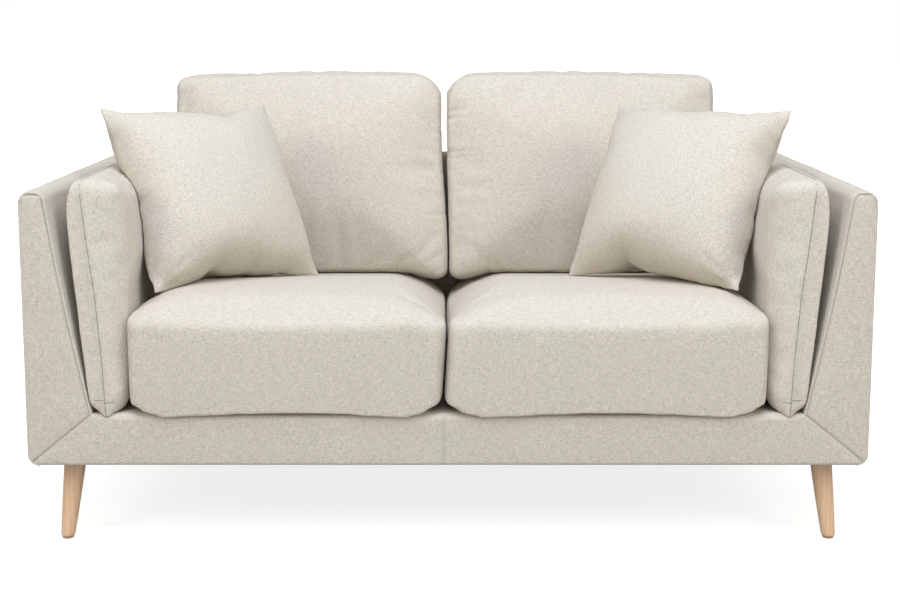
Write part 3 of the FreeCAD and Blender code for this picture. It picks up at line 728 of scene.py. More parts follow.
# painted shade along the rail's seam and mitres; the seam cords below are coloured darker than the cloth as painted
# shade
painted_seam_shade_from_lines(
    rail,
    [
        [(SEAM_X, FRONT, z) for z in np.linspace(BASE, RAIL_TOP, 30)],
        [(x, FRONT, mitre_z(x)) for x in np.linspace(ARM_IN_RAIL, ARM_OUT_LOW, 20)],
        [(-x, FRONT, mitre_z(x)) for x in np.linspace(ARM_IN_RAIL, ARM_OUT_LOW, 20)],
    ],
)
add_geometry(rail, tube([(SEAM_X, FRONT + 0.0018, z) for z in np.linspace(BASE + 0.004, RAIL_TOP - 0.006, 24)], 0.00045), 1)
for s in (-1, 1):
    add_geometry(
        rail,
        tube([(s * x, FRONT + 0.0018, mitre_z(x) + 0.0002) for x in np.linspace(ARM_IN_RAIL + 0.006, ARM_OUT_LOW - 0.009, 24)], 0.0004),
        1,
    )
finish_piece(rail, "frame", ["front_rail_cover", "front_rail_padding"])

# ------------------------------------------------------------------ back frame cover
line = arc_fillet(
    [(REAR, BASE - 0.001), (REAR, ARM_TOP), (BACK_IN_TOP, ARM_TOP), (back_in(RAIL_TOP - 0.006), RAIL_TOP - 0.006)],
    [0, 0.016, 0.016, 0],
    0.003,
)
line = resample(line, 0.012)
n2 = line_normals(line)
rows = []
for u in np.linspace(-1, 1, 121):
    row = []
    for (y, z), n in zip(line, n2):
        x = u * (arm_in(min(z, ARM_TOP)) - 0.0006)
        rear = y > 0.40 and z < ARM_TOP - 0.02
        b = 0.0
        if rear:
            a = max(0, min(1, (z - BASE) / (ARM_TOP - BASE)))
            b = 0.003 * 4 * a * (1 - a) * (1 - u**4)
            b -= dip(ARM_TOP - 0.030 - z, 0.0022, 0.0035)
            b += soft_noise((x, y, z), 0.18, 2.0) * 0.0012
        dxe = (1 - abs(u)) * 0.7
        b -= dip(dxe, 0.003, 0.006)
        row.append((x, y - n[0] * b, z - n[1] * b))
    rows.append(row)
back = make("back_frame_upholstery", *flip(grid(rows)), FABRIC, extra=[SHADED_SEAM])
# painted shade along the back's horizontal seam, and a darker seam cord as painted shade
painted_seam_shade_from_lines(back, [[(x, REAR, ARM_TOP - 0.030) for x in np.linspace(-0.7, 0.7, 60)]])
add_geometry(back, tube([(x, REAR - 0.0012, ARM_TOP - 0.030) for x in np.linspace(-0.705, 0.705, 60)], 0.0010), 1)
finish_piece(back, "frame", ["back_cover", "back_padding"])

# ------------------------------------------------------------------ seat deck and dust cover
rows = []
D0, D1 = FRONT + 0.1003, BACK_IN_RAIL - 0.004
for y in np.linspace(D0, D1, 60):
    row = []
    for x in np.linspace(-(ARM_IN_RAIL - 0.012), ARM_IN_RAIL - 0.012, 120):
        z = RAIL_TOP - 0.0008 + soft_noise((x, y, 0), 0.12, 4.0) * 0.0008 - 0.0008
        for k in range(8):
            z -= 0.0004 * math.exp(-(((x - (k - 3.5) * 0.15) / 0.03) ** 2))
        row.append((x, y, z))
    rows.append(row)
v, f = grid(rows)
deck = make("seat_deck", v, f, DECK)
sol = deck.modifiers.new("t", "SOLIDIFY")
sol.thickness = 0.0012
sol.offset = -1
baked(deck)
finish_piece(deck, "frame", ["deck_cloth"])

DB_LO, DB_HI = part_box("dust_cover")
LEGS = {}
for name, sx, sy in (("front_left", -1, -1), ("front_right", 1, -1), ("rear_left", -1, 1), ("rear_right", 1, 1)):
    LEGS[name] = (sx, sy)
TOP_X, TOP_Y, TOP_R = 0.725, 0.382, 0.0215
FOOT_X, FOOT_Y, FOOT_R = 0.743, 0.400, 0.0133
nx, ny = 176, 100
DX = DB_HI[0] - 0.009
gx = np.linspace(-DX, DX, nx)
gy = np.linspace(DB_LO[1], DB_HI[1], ny)
verts, index = [], {}
faces = []


def dust_z(x, y):
    ex = 1 - (x / DX) ** 2
    ey = 1 - (y / DB_HI[1]) ** 2
    return DB_HI[2] - 0.0003 - 0.0045 * max(0, ex * ey) ** 0.8 + soft_noise((x, y, 0), 0.1, 1.5) * 0.0010 * max(0, ex * ey)


def vid(i, j):
    if (i, j) not in index:
        x, y = gx[i], gy[j]
        index[(i, j)] = len(verts)
        # pull grid points near a leg out to a neat round hole
        for sx in (-1, 1):
            for sy in (-1, 1):
                d = math.hypot(x - sx * TOP_X, y - sy * TOP_Y)
                if 1e-6 < d < 0.030:
                    k = 0.0262 / d if d < 0.0262 else 1
                    x, y = sx * TOP_X + (x - sx * TOP_X) * k, sy * TOP_Y + (y - sy * TOP_Y) * k
        verts.append((x, y, dust_z(x, y)))
    return index[(i, j)]


for i in range(nx - 1):
    for j in range(ny - 1):
        cx, cy = (gx[i] + gx[i + 1]) / 2, (gy[j] + gy[j + 1]) / 2
        if math.hypot(abs(cx) - TOP_X, abs(cy) - TOP_Y) < 0.0235:
            continue
        faces.append((vid(i, j), vid(i, j + 1), vid(i + 1, j + 1), vid(i + 1, j)))
dust = make("dust_cover_cloth", verts, faces, DUST)
sol = dust.modifiers.new("t", "SOLIDIFY")
sol.thickness = 0.0005
sol.offset = 0
baked(dust)
finish_piece(dust, "frame", ["dust_cover"])

# ------------------------------------------------------------------ legs and glides
for name, (sx, sy) in LEGS.items():
    lo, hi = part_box(name + "_leg")
    z0, z1 = lo[2], hi[2]
    top, foot = np.array([sx * TOP_X, sy * TOP_Y]), np.array([sx * FOOT_X, sy * FOOT_Y])
    rings = []
    stations = [(z0, -0.0022), (z0 + 0.0004, -0.0010), (z0 + 0.0014, -0.0003), (z0 + 0.0030, 0.0)]
    stations += [(z0 + (z1 - z0) * k, 0.0) for k in np.linspace(0.06, 0.985, 22)]
    stations += [(z1 - 0.0008, -0.0002), (z1, -0.0010)]
    for z, dr in stations:
        a = (z - z0) / (z1 - z0)
        c = foot + (top - foot) * a
        r = FOOT_R + (TOP_R - FOOT_R) * a + dr
        # the taper swells a touch in its upper half
        r += 0.0006 * math.sin(math.pi * a)
        rings.append([(c[0] + r * math.cos(t), c[1] + r * math.sin(t), z) for t in np.linspace(0, 2 * math.pi, 49)[:-1]])
    v, f = grid(rings, wrap=True)
    m = 48
    f.append(tuple(reversed(range(m))))
    f.append(tuple(range(len(v) - m, len(v))))
    leg = make(name + "_leg_wood", v, f, BEECH)
    leg.data.polygons[len(f) - 1].use_smooth = False
    leg.data.polygons[len(f) - 2].use_smooth = False
    finish_piece(leg, "frame", [name + "_leg"])

g_lo, g_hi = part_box("leg_glides")
parts = []
for sx, sy in LEGS.values():
    rings = []
    for z, r in ((0, 0.0), (0, 0.0088), (0.0005, 0.0100), (0.0014, 0.0108), (0.0040, 0.0112), (0.0050, 0.0110), (0.0050, 0.0)):
        rings.append([(sx * FOOT_X + r * math.cos(t), sy * FOOT_Y + r * math.sin(t), z) for t in np.linspace(0, 2 * math.pi, 33)[:-1]])
    parts.append(grid(rings, wrap=True))
glides = make("glide_pads", *merge(parts), GLIDE)
finish_piece(glides, "frame", ["leg_glides"])


# ------------------------------------------------------------------ cushions
class Cushion:
    """A soft piece on its way through remesh, simulation, contact and seams."""

    def __init__(self, name, body, replaces, verts, faces, seams, voxel, pressure, slack, cap, clamp, fill, mat, bend=0.4, groove=0.0014, pin_width=0.006, tube_r=0.0006):
        self.name, self.body, self.replaces = name, body, replaces
        self.seams = [np.array(x) for x in seams]
        self.cap, self.clamp, self.fill, self.groove, self.tube_r = cap, clamp, fill, groove, tube_r
        self.pressure, self.slack, self.bend = pressure, slack, bend
        self.ob = make(name, verts, faces, mat, extra=[DARKER_SHADED_SEAM if "side_cushion" in name else SHADED_SEAM])
        self.mat = mat
        me = remeshed(self.ob, voxel)
        self.kd = self.tree()
        c = coords(me)
        n = normals(me)
        d = self.dist(c)
        jit = rng.normal(0, 0.0004, len(c))[:, None] * n
        c = c + jit
        set_coords(me, c)
        self.base = c.copy()
        g = self.ob.vertex_groups.new(name="pin")
        near = np.where(d < pin_width * 2)[0]
        for i in near:
            w = 1.0 if d[i] < pin_width else 1.0 - (d[i] - pin_width) / pin_width
            g.add([int(i)], float(max(0.0, min(1.0, w))), "REPLACE")

    def tree(self):
        pts = np.vstack([resample(l, 0.003) for l in self.seams]) if self.seams else np.zeros((0, 3))
        kd = KDTree(max(1, len(pts)))
        for i, p in enumerate(pts):
            kd.insert(Vector(p), i)
        if not len(pts):
            kd.insert(Vector((99, 99, 99)), 0)
        kd.balance()
        return kd

    def dist(self, c):
        return np.array([self.kd.find(Vector(p))[2] for p in c])

    def cloth(self, frames):
        m = self.ob.modifiers.new("Cloth", "CLOTH")
        st = m.settings
        st.quality = 5
        st.mass = 0.25
        st.air_damping = 2.0
        st.tension_stiffness = 12
        st.compression_stiffness = 12
        st.shear_stiffness = 4
        st.bending_stiffness = self.bend
        st.tension_damping = 6
        st.compression_damping = 6
        st.shear_damping = 5
        st.bending_damping = 0.5
        st.use_pressure = True
        st.uniform_pressure_force = self.pressure
        st.shrink_min = -self.slack
        st.shrink_max = -self.slack
        st.vertex_group_mass = "pin"
        st.pin_stiffness = 1.0
        st.effector_weights.gravity = 0
        m.collision_settings.use_collision = False
        m.collision_settings.use_self_collision = False
        m.point_cache.frame_start = 1
        m.point_cache.frame_end = frames

    def settle(self):
        me = baked(self.ob) if self.ob.modifiers else self.ob.data
        c = coords(me)
        d = c - self.base
        n = np.linalg.norm(d, axis=1)
        k = np.where(n > 1e-9, self.cap * np.tanh(n / self.cap) / np.maximum(n, 1e-9), 1.0)
        c = self.base + d * k[:, None]
        if self.clamp is not None:
            c = self.clamp(c)
        set_coords(me, c)
        me = subdivided(self.ob)
        c = coords(me)
        if self.clamp is not None:
            c = self.clamp(c)
            set_coords(me, c)
        n = normals(me)
        d = self.dist(c)
        c = c - n * (self.groove * np.exp(-((d / 0.0034) ** 2)))[:, None]
        c = c + n * (self.groove * 0.35 * np.exp(-(((d - 0.009) / 0.004) ** 2)))[:, None]
        if self.clamp is not None:
            c = self.clamp(c)
        set_coords(me, c)
        # painted shade along the cushion's seams, in the seam mask
        set_painted_seam_shade(me, np.exp(-((d / 0.0032) ** 2)))

    def smooth(self, rounds, keep=0.010):
        """Evens the panels between the seams; the seams stay where they are."""
        me = self.ob.data
        c = coords(me)
        e = np.zeros(len(me.edges) * 2, dtype=np.int64)
        me.edges.foreach_get("vertices", e)
        e = e.reshape(-1, 2)
        k = ease((self.dist(c) - 0.004) / keep)[:, None] * 0.55
        count = np.zeros(len(c))
        np.add.at(count, e[:, 0], 1)
        np.add.at(count, e[:, 1], 1)
        count = np.maximum(count, 1)[:, None]
        for _ in range(rounds):
            total = np.zeros_like(c)
            np.add.at(total, e[:, 0], c[e[:, 1]])
            np.add.at(total, e[:, 1], c[e[:, 0]])
            c = c + (total / count - c) * k
        if self.clamp is not None:
            c = self.clamp(c)
        set_coords(me, c)

    # the seam cords go on in the darker seam material: painted shade along each seam line
    def thread(self):
        me = self.ob.data
        bvh = BVHTree.FromPolygons([v.co for v in me.vertices], [p.vertices[:] for p in me.polygons])
        for line in self.seams:
            pts = []
            for p in resample(line, 0.006):
                hit = bvh.find_nearest(Vector(p))
                pts.append(hit[0] + hit[1] * (0.0001 if "side_cushion" in self.name else -0.0002))
            pts = np.array([tuple(p) for p in pts])
            # ease the tube so it follows the cloth without jumping
            for _ in range(3):
                pts[1:-1] = pts[1:-1] * 0.5 + (pts[:-2] + pts[2:]) * 0.25
            add_geometry(self.ob, tube(pts, self.tube_r), 1)

    def done(self):
        finish_piece(self.ob, self.body, self.replaces)


def lerp(a, b, t):
    return a + (b - a) * t


def fan(loop, centre, reverse=False):
    """Closes a loop of points with rings shrinking to a centre point. Returns verts, faces."""
    rings = []
    for k in np.linspace(1, 0.12, 10):
        rings.append([tuple(np.array(centre) + (np.array(p) - np.array(centre)) * k) for p in loop])
    v, f = grid(rings, wrap=True)
    c = len(v)
    v.append(tuple(centre))
    m = len(loop)
    for j in range(m):
        f.append((c - m + j, c - m + (j + 1) % m, c))
    return (v, [tuple(reversed(q)) for q in f]) if reverse else (v, f)


def ease_ends(n):
    """0 to 1, closer together at both ends."""
    t = np.linspace(0, 1, n)
    return t + 0.55 * (np.sin(2 * math.pi * t) * -1) / (2 * math.pi)


def ease(t):
    t = np.clip(t, 0, 1)
    return t * t * (3 - 2 * t)


# ---- seat cushions
S_LO, S_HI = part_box("right_seat_cushion_cover")


def seat_cushion(side, s):
    x0, x1 = S_LO[0] + 0.0010, S_HI[0] + 0.0030
    zb = S_LO[2] + 0.0008
    yf, yr = S_LO[1] + 0.006, S_HI[1] - 0.004

    def ref(y):
        return 0.4470 - 0.0560 * (y - yf)

    prof = arc_fillet(
        [(yr, 0.34), (yr, zb), (yf, zb), (yf - 0.001, ref(yf)), (yr, ref(yr)), (yr, 0.34)],
        [0, 0.020, 0.006, 0.020, 0.022, 0],
        0.003,
    )[:-1]
    prof = even(prof, 190, closed=True)
    cen = prof.mean(0)
    # heights of the top along the middle, along the seam at the gap and along the outer seam
    ty = [-0.455, -0.43, -0.40, -0.34, -0.29, -0.20, -0.10, 0.0, 0.13, 0.31]
    crown = [0.452, 0.459, 0.465, 0.470, 0.471, 0.468, 0.457, 0.440, 0.419, 0.402]
    iy, inner = [-0.455, -0.44, -0.35, -0.20, 0.0, 0.31], [0.446, 0.442, 0.417, 0.391, 0.376, 0.358]
    wy, wide = [-0.25, 0.10], [0.064, 0.062]
    oy, outer = [-0.455, -0.20, 0.0, 0.31], [0.449, 0.434, 0.4195, 0.400]

    def top(y, di, do):
        c = float(np.interp(y, ty, crown))
        gi = max(0.0, 1 - di / float(np.interp(y, wy, wide))) ** 1.7
        go = max(0.0, 1 - do / 0.056) ** 1.9
        return c - (c - float(np.interp(y, iy, inner))) * gi - (c - float(np.interp(y, oy, outer))) * go

    rows = []
    w = x1 - x0
    for u in ease_ends(67):
        b = (1 - abs(2 * u - 1) ** 5.0) ** 0.75
        x = lerp(x0, x1, u) if s > 0 else -lerp(x0, x1, u)
        di, do = u * w, (1 - u) * w
        rise = 0.0125 * math.exp(-((min(di, do) / 0.034) ** 2))
        flat = float(ease(min(di, do) / 0.045))
        row = []
        for y, z in prof:
            k = max(0.0, min(1.0, (z - zb) / (ref(y) - zb)))
            dz = (top(y, di, do) - ref(y)) * k**1.6
            front = ease((-0.405 - y) / 0.035) * (0.62 + 0.38 * ease((z - 0.262) / 0.06))
            yy = y - 0.0150 * b * front
            sag = 0.0085 * flat * float(ease((-0.4395 - yy) / 0.012)) * (1 - float(ease((z - zb) / 0.06)))
            row.append((x, yy, z + dz + rise * (1 - ease((z - zb) / 0.06)) - sag))
        rows.append(row)
    v, f = grid(rows, wrap=True)
    a = fan(rows[0], (rows[0][0][0], cen[0], cen[1]))
    b = fan(rows[-1], (rows[-1][0][0], cen[0], cen[1]), True)
    verts, faces = merge([(v, f), a, b])
    if s > 0:
        faces = [tuple(reversed(q)) for q in faces]
    seams = []
    for k in (0, -1):
        ring = np.array([p for p in rows[k]])
        seams.append(np.vstack([ring, ring[:1]]))
    lo_x, hi_x = x0 - 0.0006, x1 + 0.0006

    def clamp(c):
        c = c.copy()
        ax = np.clip(np.abs(c[:, 0]), lo_x, hi_x)
        c[:, 0] = s * ax
        y = c[:, 1]
        di, do = np.maximum(ax - x0, 0.0), np.maximum(x1 - ax, 0.0)
        cr = np.interp(y, ty, crown)
        gi = np.maximum(0.0, 1 - di / np.interp(y, wy, wide)) ** 1.7
        go = np.maximum(0.0, 1 - do / 0.056) ** 1.9
        lid = cr - (cr - np.interp(y, iy, inner)) * gi - (cr - np.interp(y, oy, outer)) * go
        lid = lid + 0.0090 * (1 - gi) * (1 - go) + 0.0020
        c[:, 2] = np.minimum(c[:, 2], lid)
        # the front is held flat by the foam, and its lower edge hangs a little over the rail
        keep = FRONT - 0.0070
        y = np.where(y < keep, keep - 0.0060 * np.tanh((keep - y) / 0.0060), y)
        c[:, 1] = y
        e = np.clip(FRONT + 0.011 - y, 0.0, 0.011)
        low = RAIL_TOP - 0.011 + np.sqrt(np.maximum(0.0, 0.011**2 - e**2)) + 0.0012
        low = np.where(y < FRONT - 0.0030, RAIL_TOP - 0.0105, low)
        c[:, 2] = np.maximum(c[:, 2], low)
        c[:, 1] = np.minimum(c[:, 1], BACK_IN_RAIL - 0.004)
        c[:, 1] = np.maximum(c[:, 1], FRONT - 0.016)
        return c

    return Cushion(
        side + "_seat_cushion_soft", side + "_seat_cushion", [side + "_seat_cushion_cover", side + "_seat_cushion_core"],
        verts, faces, seams, 0.0085, 2.2, 0.012, 0.012, clamp, 0.9, FABRIC, bend=0.6,
    )


# ---- back cushions
B_LO, B_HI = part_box("right_back_cushion_cover")


def back_frame_at(w):
    """Middle plane of a back cushion: w is the height along its lean."""
    return np.array([0.0, 0.2335, 0.4215]) + w * BACK_UP


BACK_UP = np.array([0.0, 0.1576, 0.9875])
BACK_UP = BACK_UP / np.linalg.norm(BACK_UP)
BACK_N = np.array([0.0, -BACK_UP[2], BACK_UP[1]])  # towards the sitter


def back_cushion(side, s):
    x0, x1 = B_LO[0] + 0.003, B_HI[0] - 0.003
    h = 0.446
    # outline in (x, w), from the middle of the bottom edge, counter-clockwise for s > 0
    out = arc_fillet(
        [((x0 + x1) / 2, 0.0), (x1, 0.004), (x1 + 0.0, h - 0.006), ((x0 + x1) / 2, h + 0.002), (x0, h), (x0, -0.018), (x0 + 0.085, 0.0), ((x0 + x1) / 2, 0.0)],
        [0, 0.034, 0.024, 0, 0.062, 0.020, 0.03, 0],
        0.004,
    )[:-1]
    out = even(out, 220, closed=True)
    c2 = np.array([(x0 + x1) / 2, h / 2])

    def place(p, t):
        q = back_frame_at(p[1]) + BACK_N * t
        return (s * p[0], q[1], q[2])

    tf, tr = 0.068, -0.078
    rows = []
    # rear panel centre -> rear seam -> boxing -> front seam -> front panel centre
    for k in np.linspace(0.1, 1, 12):
        bulge = 0.012 * (1 - k**3)
        rows.append([place(c2 + (p - c2) * k, tr - bulge) for p in out])
    for t in np.linspace(tr, tf, 14)[1:-1]:
        a = (t - tr) / (tf - tr)
        b = 0.006 * 4 * a * (1 - a)
        rows.append([place(p + (p - c2) / np.linalg.norm(p - c2) * b, t) for p in out])
    for k in np.linspace(1, 0.1, 22):
        bulge = 0.040 * (1 - k**2.6) ** 0.8
        rows.append([place(c2 + (p - c2) * k, tf + bulge * (1.0 - 0.25 * ((p[1] - c2[1]) / h) * k)) for p in out])
    v, f = grid(rows, wrap=True)
    m = len(out)
    a = len(v)
    v.append(place(c2, tr - 0.012))
    v.append(place(c2, tf + 0.040))
    for j in range(m):
        f.append((j, a, (j + 1) % m)[::-1])
        f.append((a - m + j, a - m + (j + 1) % m, a + 1))
    if s < 0:
        f = [tuple(reversed(q)) for q in f]
    f = [tuple(reversed(q)) for q in f]
    seams = []
    for t in (tf, tr):
        ring = np.array([place(p, t) for p in out])
        seams.append(np.vstack([ring, ring[:1]]))
    slope = (BACK_IN_TOP - BACK_IN_RAIL) / (ARM_TOP - RAIL_TOP)

    def clamp(c):
        c = c.copy()
        ax = np.clip(np.abs(c[:, 0]), 0.0012, B_HI[0] + 0.0012)
        c[:, 0] = s * ax
        lim = BACK_IN_RAIL + (np.minimum(c[:, 2], ARM_TOP + 0.08) - RAIL_TOP) * slope - 0.004
        c[:, 1] = np.minimum(c[:, 1], lim)
        return c

    return Cushion(
        side + "_back_cushion_soft", side + "_back_cushion", [side + "_back_cushion_cover", side + "_back_cushion_core"],
        v, f, seams, 0.0075, 2.6, 0.020, 0.012, clamp, 0.75, FABRIC, bend=0.35, groove=0.0010,
    )


# ---- side cushions
def side_out(z):
    """Outer face of a side cushion: it stands away from the arm towards the top."""
    return np.interp(z, [0.25, 0.265, 0.3065, 0.384, 0.48, 0.5746, 0.640, 0.668, 0.688, 0.703], [0.6690, 0.6735, 0.6795, 0.6885, 0.6980, 0.7075, 0.7115, 0.7095, 0.7040, 0.6970])


C_LO, C_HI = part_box("right_side_cushion_cover")


def side_cushion(side, s):
    y0, y1 = C_LO[1] + 0.004, C_HI[1] - 0.004
    z0, z1 = 0.2655, 0.7030
    # seam loop in (y, z); x follows the seam plane
    def seam_x(z):
        return float(np.interp(z, [0.262, 0.364, 0.492, 0.5866, 0.70], [0.6470, 0.6520, 0.6630, 0.6756, 0.6880]))

    loop = arc_fillet(
        [((y0 + y1) / 2, z0), (y1, z0 + 0.002), (y1, z1), (y0 + 0.014, z1), (-0.4575, 0.2450), (-0.405, z0), ((y0 + y1) / 2, z0)],
        [0, 0.03, 0.04, 0.024, 0.004, 0.03, 0],
        0.004,
    )[:-1]
    loop = even(loop, 240, closed=True)
    c2 = np.array([(y0 + y1) / 2, (z0 + z1) / 2])

    def place(p, t):
        """t > 0 towards the seat."""
        return (s * (seam_x(p[1]) - t), p[0], p[1])

    def depth_in(z):
        return seam_x(z) - 0.6062

    def depth_out(z):
        return float(side_out(z)) - 0.0012 - seam_x(z)

    def section(k):
        # k 0 at the seam, 1 at the middle of the panel
        return k

    rows = []
    w = 0.026
    nl = line_normals(loop, closed=True)
    if np.mean(np.sum((loop - c2) * nl, axis=1)) < 0:
        nl = -nl
    reach = np.maximum(0.03, np.sum((loop - c2) * nl, axis=1))
    tip = np.array([-0.4575, 0.2450])
    ks = 1 - np.array([0.0, 0.004, 0.010, 0.019, 0.030, 0.045, 0.063, 0.085, 0.115, 0.16, 0.23, 0.33, 0.46, 0.62, 0.80, 0.97])

    for sign, depth in ((-1, depth_out), (1, depth_in)):
        layer = []
        for k in ks:
            ring = []
            for p, far in zip(loop, reach):
                q = c2 + (p - c2) * k
                d = (1 - k) * far
                ww = w if sign > 0 else 0.017
                h = max(0.0, 1 - (1 - min(1.0, d / ww)) ** 2.6) ** 0.5
                h *= 0.30 + 0.70 * float(ease(np.linalg.norm(q - tip) / 0.062))
                if sign > 0:
                    h *= 0.93 + 0.07 * float(ease(d / 0.15))
                ring.append(place(q, sign * depth(q[1]) * h))
            layer.append(ring)
        rows.append(layer)
    outer, inner = rows
    all_rows = list(reversed(outer)) + inner[1:]
    v, f = grid(all_rows, wrap=True)
    m = len(loop)
    # caps: join the two innermost rings across the middle line
    ca = len(v)
    mo = np.mean(np.array(all_rows[0]), axis=0)
    mi = np.mean(np.array(all_rows[-1]), axis=0)
    v.append(tuple(mo))
    v.append(tuple(mi))
    for j in range(m):
        f.append((j, ca, (j + 1) % m)[::-1])
        f.append((ca - m + j, ca - m + (j + 1) % m, ca + 1))
    if s < 0:
        f = [tuple(reversed(q)) for q in f]
    ring = np.array([place(p, 0.0) for p in loop])
    seams = [np.vstack([ring, ring[:1]])]
    # short darts that gather the cloth at the lower tip
    seams.append(np.array([(s * (seam_x(0.286) + k), -0.4520 + 0.25 * k, 0.2885 + 0.05 * k) for k in np.linspace(0.002, 0.020, 6)]))
    seams.append(np.array([(s * (seam_x(0.286) - k), -0.4520 + 0.25 * k, 0.2835 + 0.10 * k) for k in np.linspace(0.001, 0.016, 6)]))

    def clamp(c):
        c = c.copy()
        ax = np.abs(c[:, 0])
        z = c[:, 2]
        mid = np.interp(z, [0.262, 0.364, 0.492, 0.5866, 0.70], [0.6470, 0.6520, 0.6630, 0.6756, 0.6880])
        room = np.maximum(0.002, side_out(z) - mid)
        t = np.maximum(0.0, ax - mid) / room
        full = ease((z - 0.262) / 0.03)
        ax = np.where(ax > mid, mid + room * (t * (1 - full) + full * np.minimum(1.0, np.tanh(t * 1.9) / np.tanh(1.9))), ax)
        ax = np.minimum(ax, side_out(z) + 0.0010)
        ax = np.maximum(ax, np.where(z < 0.48, 0.6064, 0.6064 - 0.012 * ease((z - 0.48) / 0.1)))
        c[:, 0] = s * ax
        y = c[:, 1]
        e = np.clip(FRONT + 0.011 - y, 0.0, 0.011)
        low = RAIL_TOP - 0.011 + np.sqrt(np.maximum(0.0, 0.011**2 - e**2)) + 0.0012
        low = np.where(y < FRONT - 0.0030, 0.2440, low)
        c[:, 2] = np.maximum(c[:, 2], low)
        c[:, 1] = np.minimum(c[:, 1], BACK_IN_RAIL - 0.004)
        return c

    return Cushion(
        side + "_side_cushion_soft", side + "_side_cushion", [side + "_side_cushion_cover", side + "_side_cushion_core"],
        v, f, seams, 0.0075, 2.2, 0.015, 0.010, clamp, 0.8, FABRIC, bend=0.4,
    )


# ---- throw pillows
def throw_pillow(side, s, seed):
    """Two squares of cloth sewn round the edge and blown up from nearly flat."""
    half, n = 0.2200, 56
    r = np.random.default_rng(seed)
    g = np.linspace(-1, 1, n + 1)
    verts, top, bottom = [], {}, {}
    for j in range(n + 1):
        for i in range(n + 1):
            a, b = g[i], g[j]
            # sides drawn in between the corners
            x = half * a * (1 + 0.030 * (1 - b * b) * abs(a))
            y = half * b * (1 + 0.030 * (1 - a * a) * abs(b))
            edge = i in (0, n) or j in (0, n)
            h = 0.050 * ((1 - a**2) * (1 - b**2)) ** 0.42
            if edge:
                top[(i, j)] = bottom[(i, j)] = len(verts)
                verts.append((x, y, 0.0))
            else:
                w = r.normal(0, 0.0004)
                top[(i, j)] = len(verts)
                verts.append((x, y, h + 0.001 + w))
                bottom[(i, j)] = len(verts)
                verts.append((x, y, -h - 0.001 - w))
    faces = []
    for j in range(n):
        for i in range(n):
            k = ((i, j), (i + 1, j), (i + 1, j + 1), (i, j + 1))
            faces.append(tuple(top[q] for q in k))
            faces.append(tuple(bottom[q] for q in reversed(k)))
    ob = make(side + "_throw_pillow_soft", verts, faces, PILLOW, extra=[SHADED_SEAM])
    border = [top[(i, 0)] for i in range(n)] + [top[(n, j)] for j in range(n)] + [top[(i, n)] for i in range(n, 0, -1)] + [top[(0, j)] for j in range(n, 0, -1)]
    ob["border"] = border
    return ob, border


PILLOWS = {
    -1: dict(at=(-0.485, -0.132, 0.6410), yaw=40.5, lean=29.5, roll=-1.2),
    1: dict(at=(0.468, -0.146, 0.6450), yaw=36.5, lean=31.0, roll=0.3),
}
TIP = 0.403  # corner to corner along a side


def pillow_pose(s):
    q = PILLOWS[s]
    yaw, lean = math.radians(q["yaw"]), math.radians(q["lean"])
    u = Vector((math.cos(yaw), -s * math.sin(yaw), 0))
    n = Vector((-s * math.cos(lean) * math.sin(yaw), -math.cos(lean) * math.cos(yaw), math.sin(lean)))
    up = n.cross(u)
    m = Matrix((u, up, n)).transposed().to_4x4()
    return Matrix.Translation(q["at"]) @ m @ Matrix.Rotation(math.radians(q["roll"]), 4, "Z")


FRAMES = 18
PFRAMES = 30
cushions = []
for side, s in (("left", -1), ("right", 1)):
    cushions.append(seat_cushion(side, s))
    cushions.append(back_cushion(side, s))
    cushions.append(side_cushion(side, s))
pillows = [("left", -1, *throw_pillow("left", -1, 11)), ("right", 1, *throw_pillow("right", 1, 12))]

for c in cushions:
    c.cloth(FRAMES)
for side, s, ob, border in pillows:
    m = ob.modifiers.new("Cloth", "CLOTH")
    st = m.settings
    st.quality = 6
    st.mass = 0.2
    st.air_damping = 2.0
    st.tension_stiffness = 18
    st.compression_stiffness = 18
    st.shear_stiffness = 5
    st.bending_stiffness = 0.25
    st.tension_damping = 8
    st.compression_damping = 8
    st.shear_damping = 5
    st.bending_damping = 0.5
    st.use_pressure = True
    st.uniform_pressure_force = 7.5
    st.effector_weights.gravity = 0
    m.collision_settings.use_collision = False
    m.collision_settings.use_self_collision = False
    m.point_cache.frame_start = 1
    m.point_cache.frame_end = PFRAMES
scene = bpy.context.scene
for fr in range(1, FRAMES + 1):
    scene.frame_set(fr)
for c in cushions:
    baked(c.ob)
for fr in range(FRAMES + 1, PFRAMES + 1):
    scene.frame_set(fr)
for side, s, ob, border in pillows:
    baked(ob)
scene.frame_set(1)

def tree_of(ob):
    me = ob.data
    return BVHTree.FromPolygons([v.co for v in me.vertices], [p.vertices[:] for p in me.polygons])


def clear_of(c, trees, gap=0.0013, reach=0.05, passes=2):
    """Points pushed out of other pieces, along those pieces' own normals."""
    for _ in range(passes):
        for bvh in trees:
            for i in range(len(c)):
                p = Vector(c[i])
                hit = bvh.find_nearest(p, reach)
                if hit[0] is None:
                    continue
                if (p - hit[0]).dot(hit[1]) < gap:
                    c[i] = tuple(hit[0] + hit[1] * (gap + 0.0001))
    return c


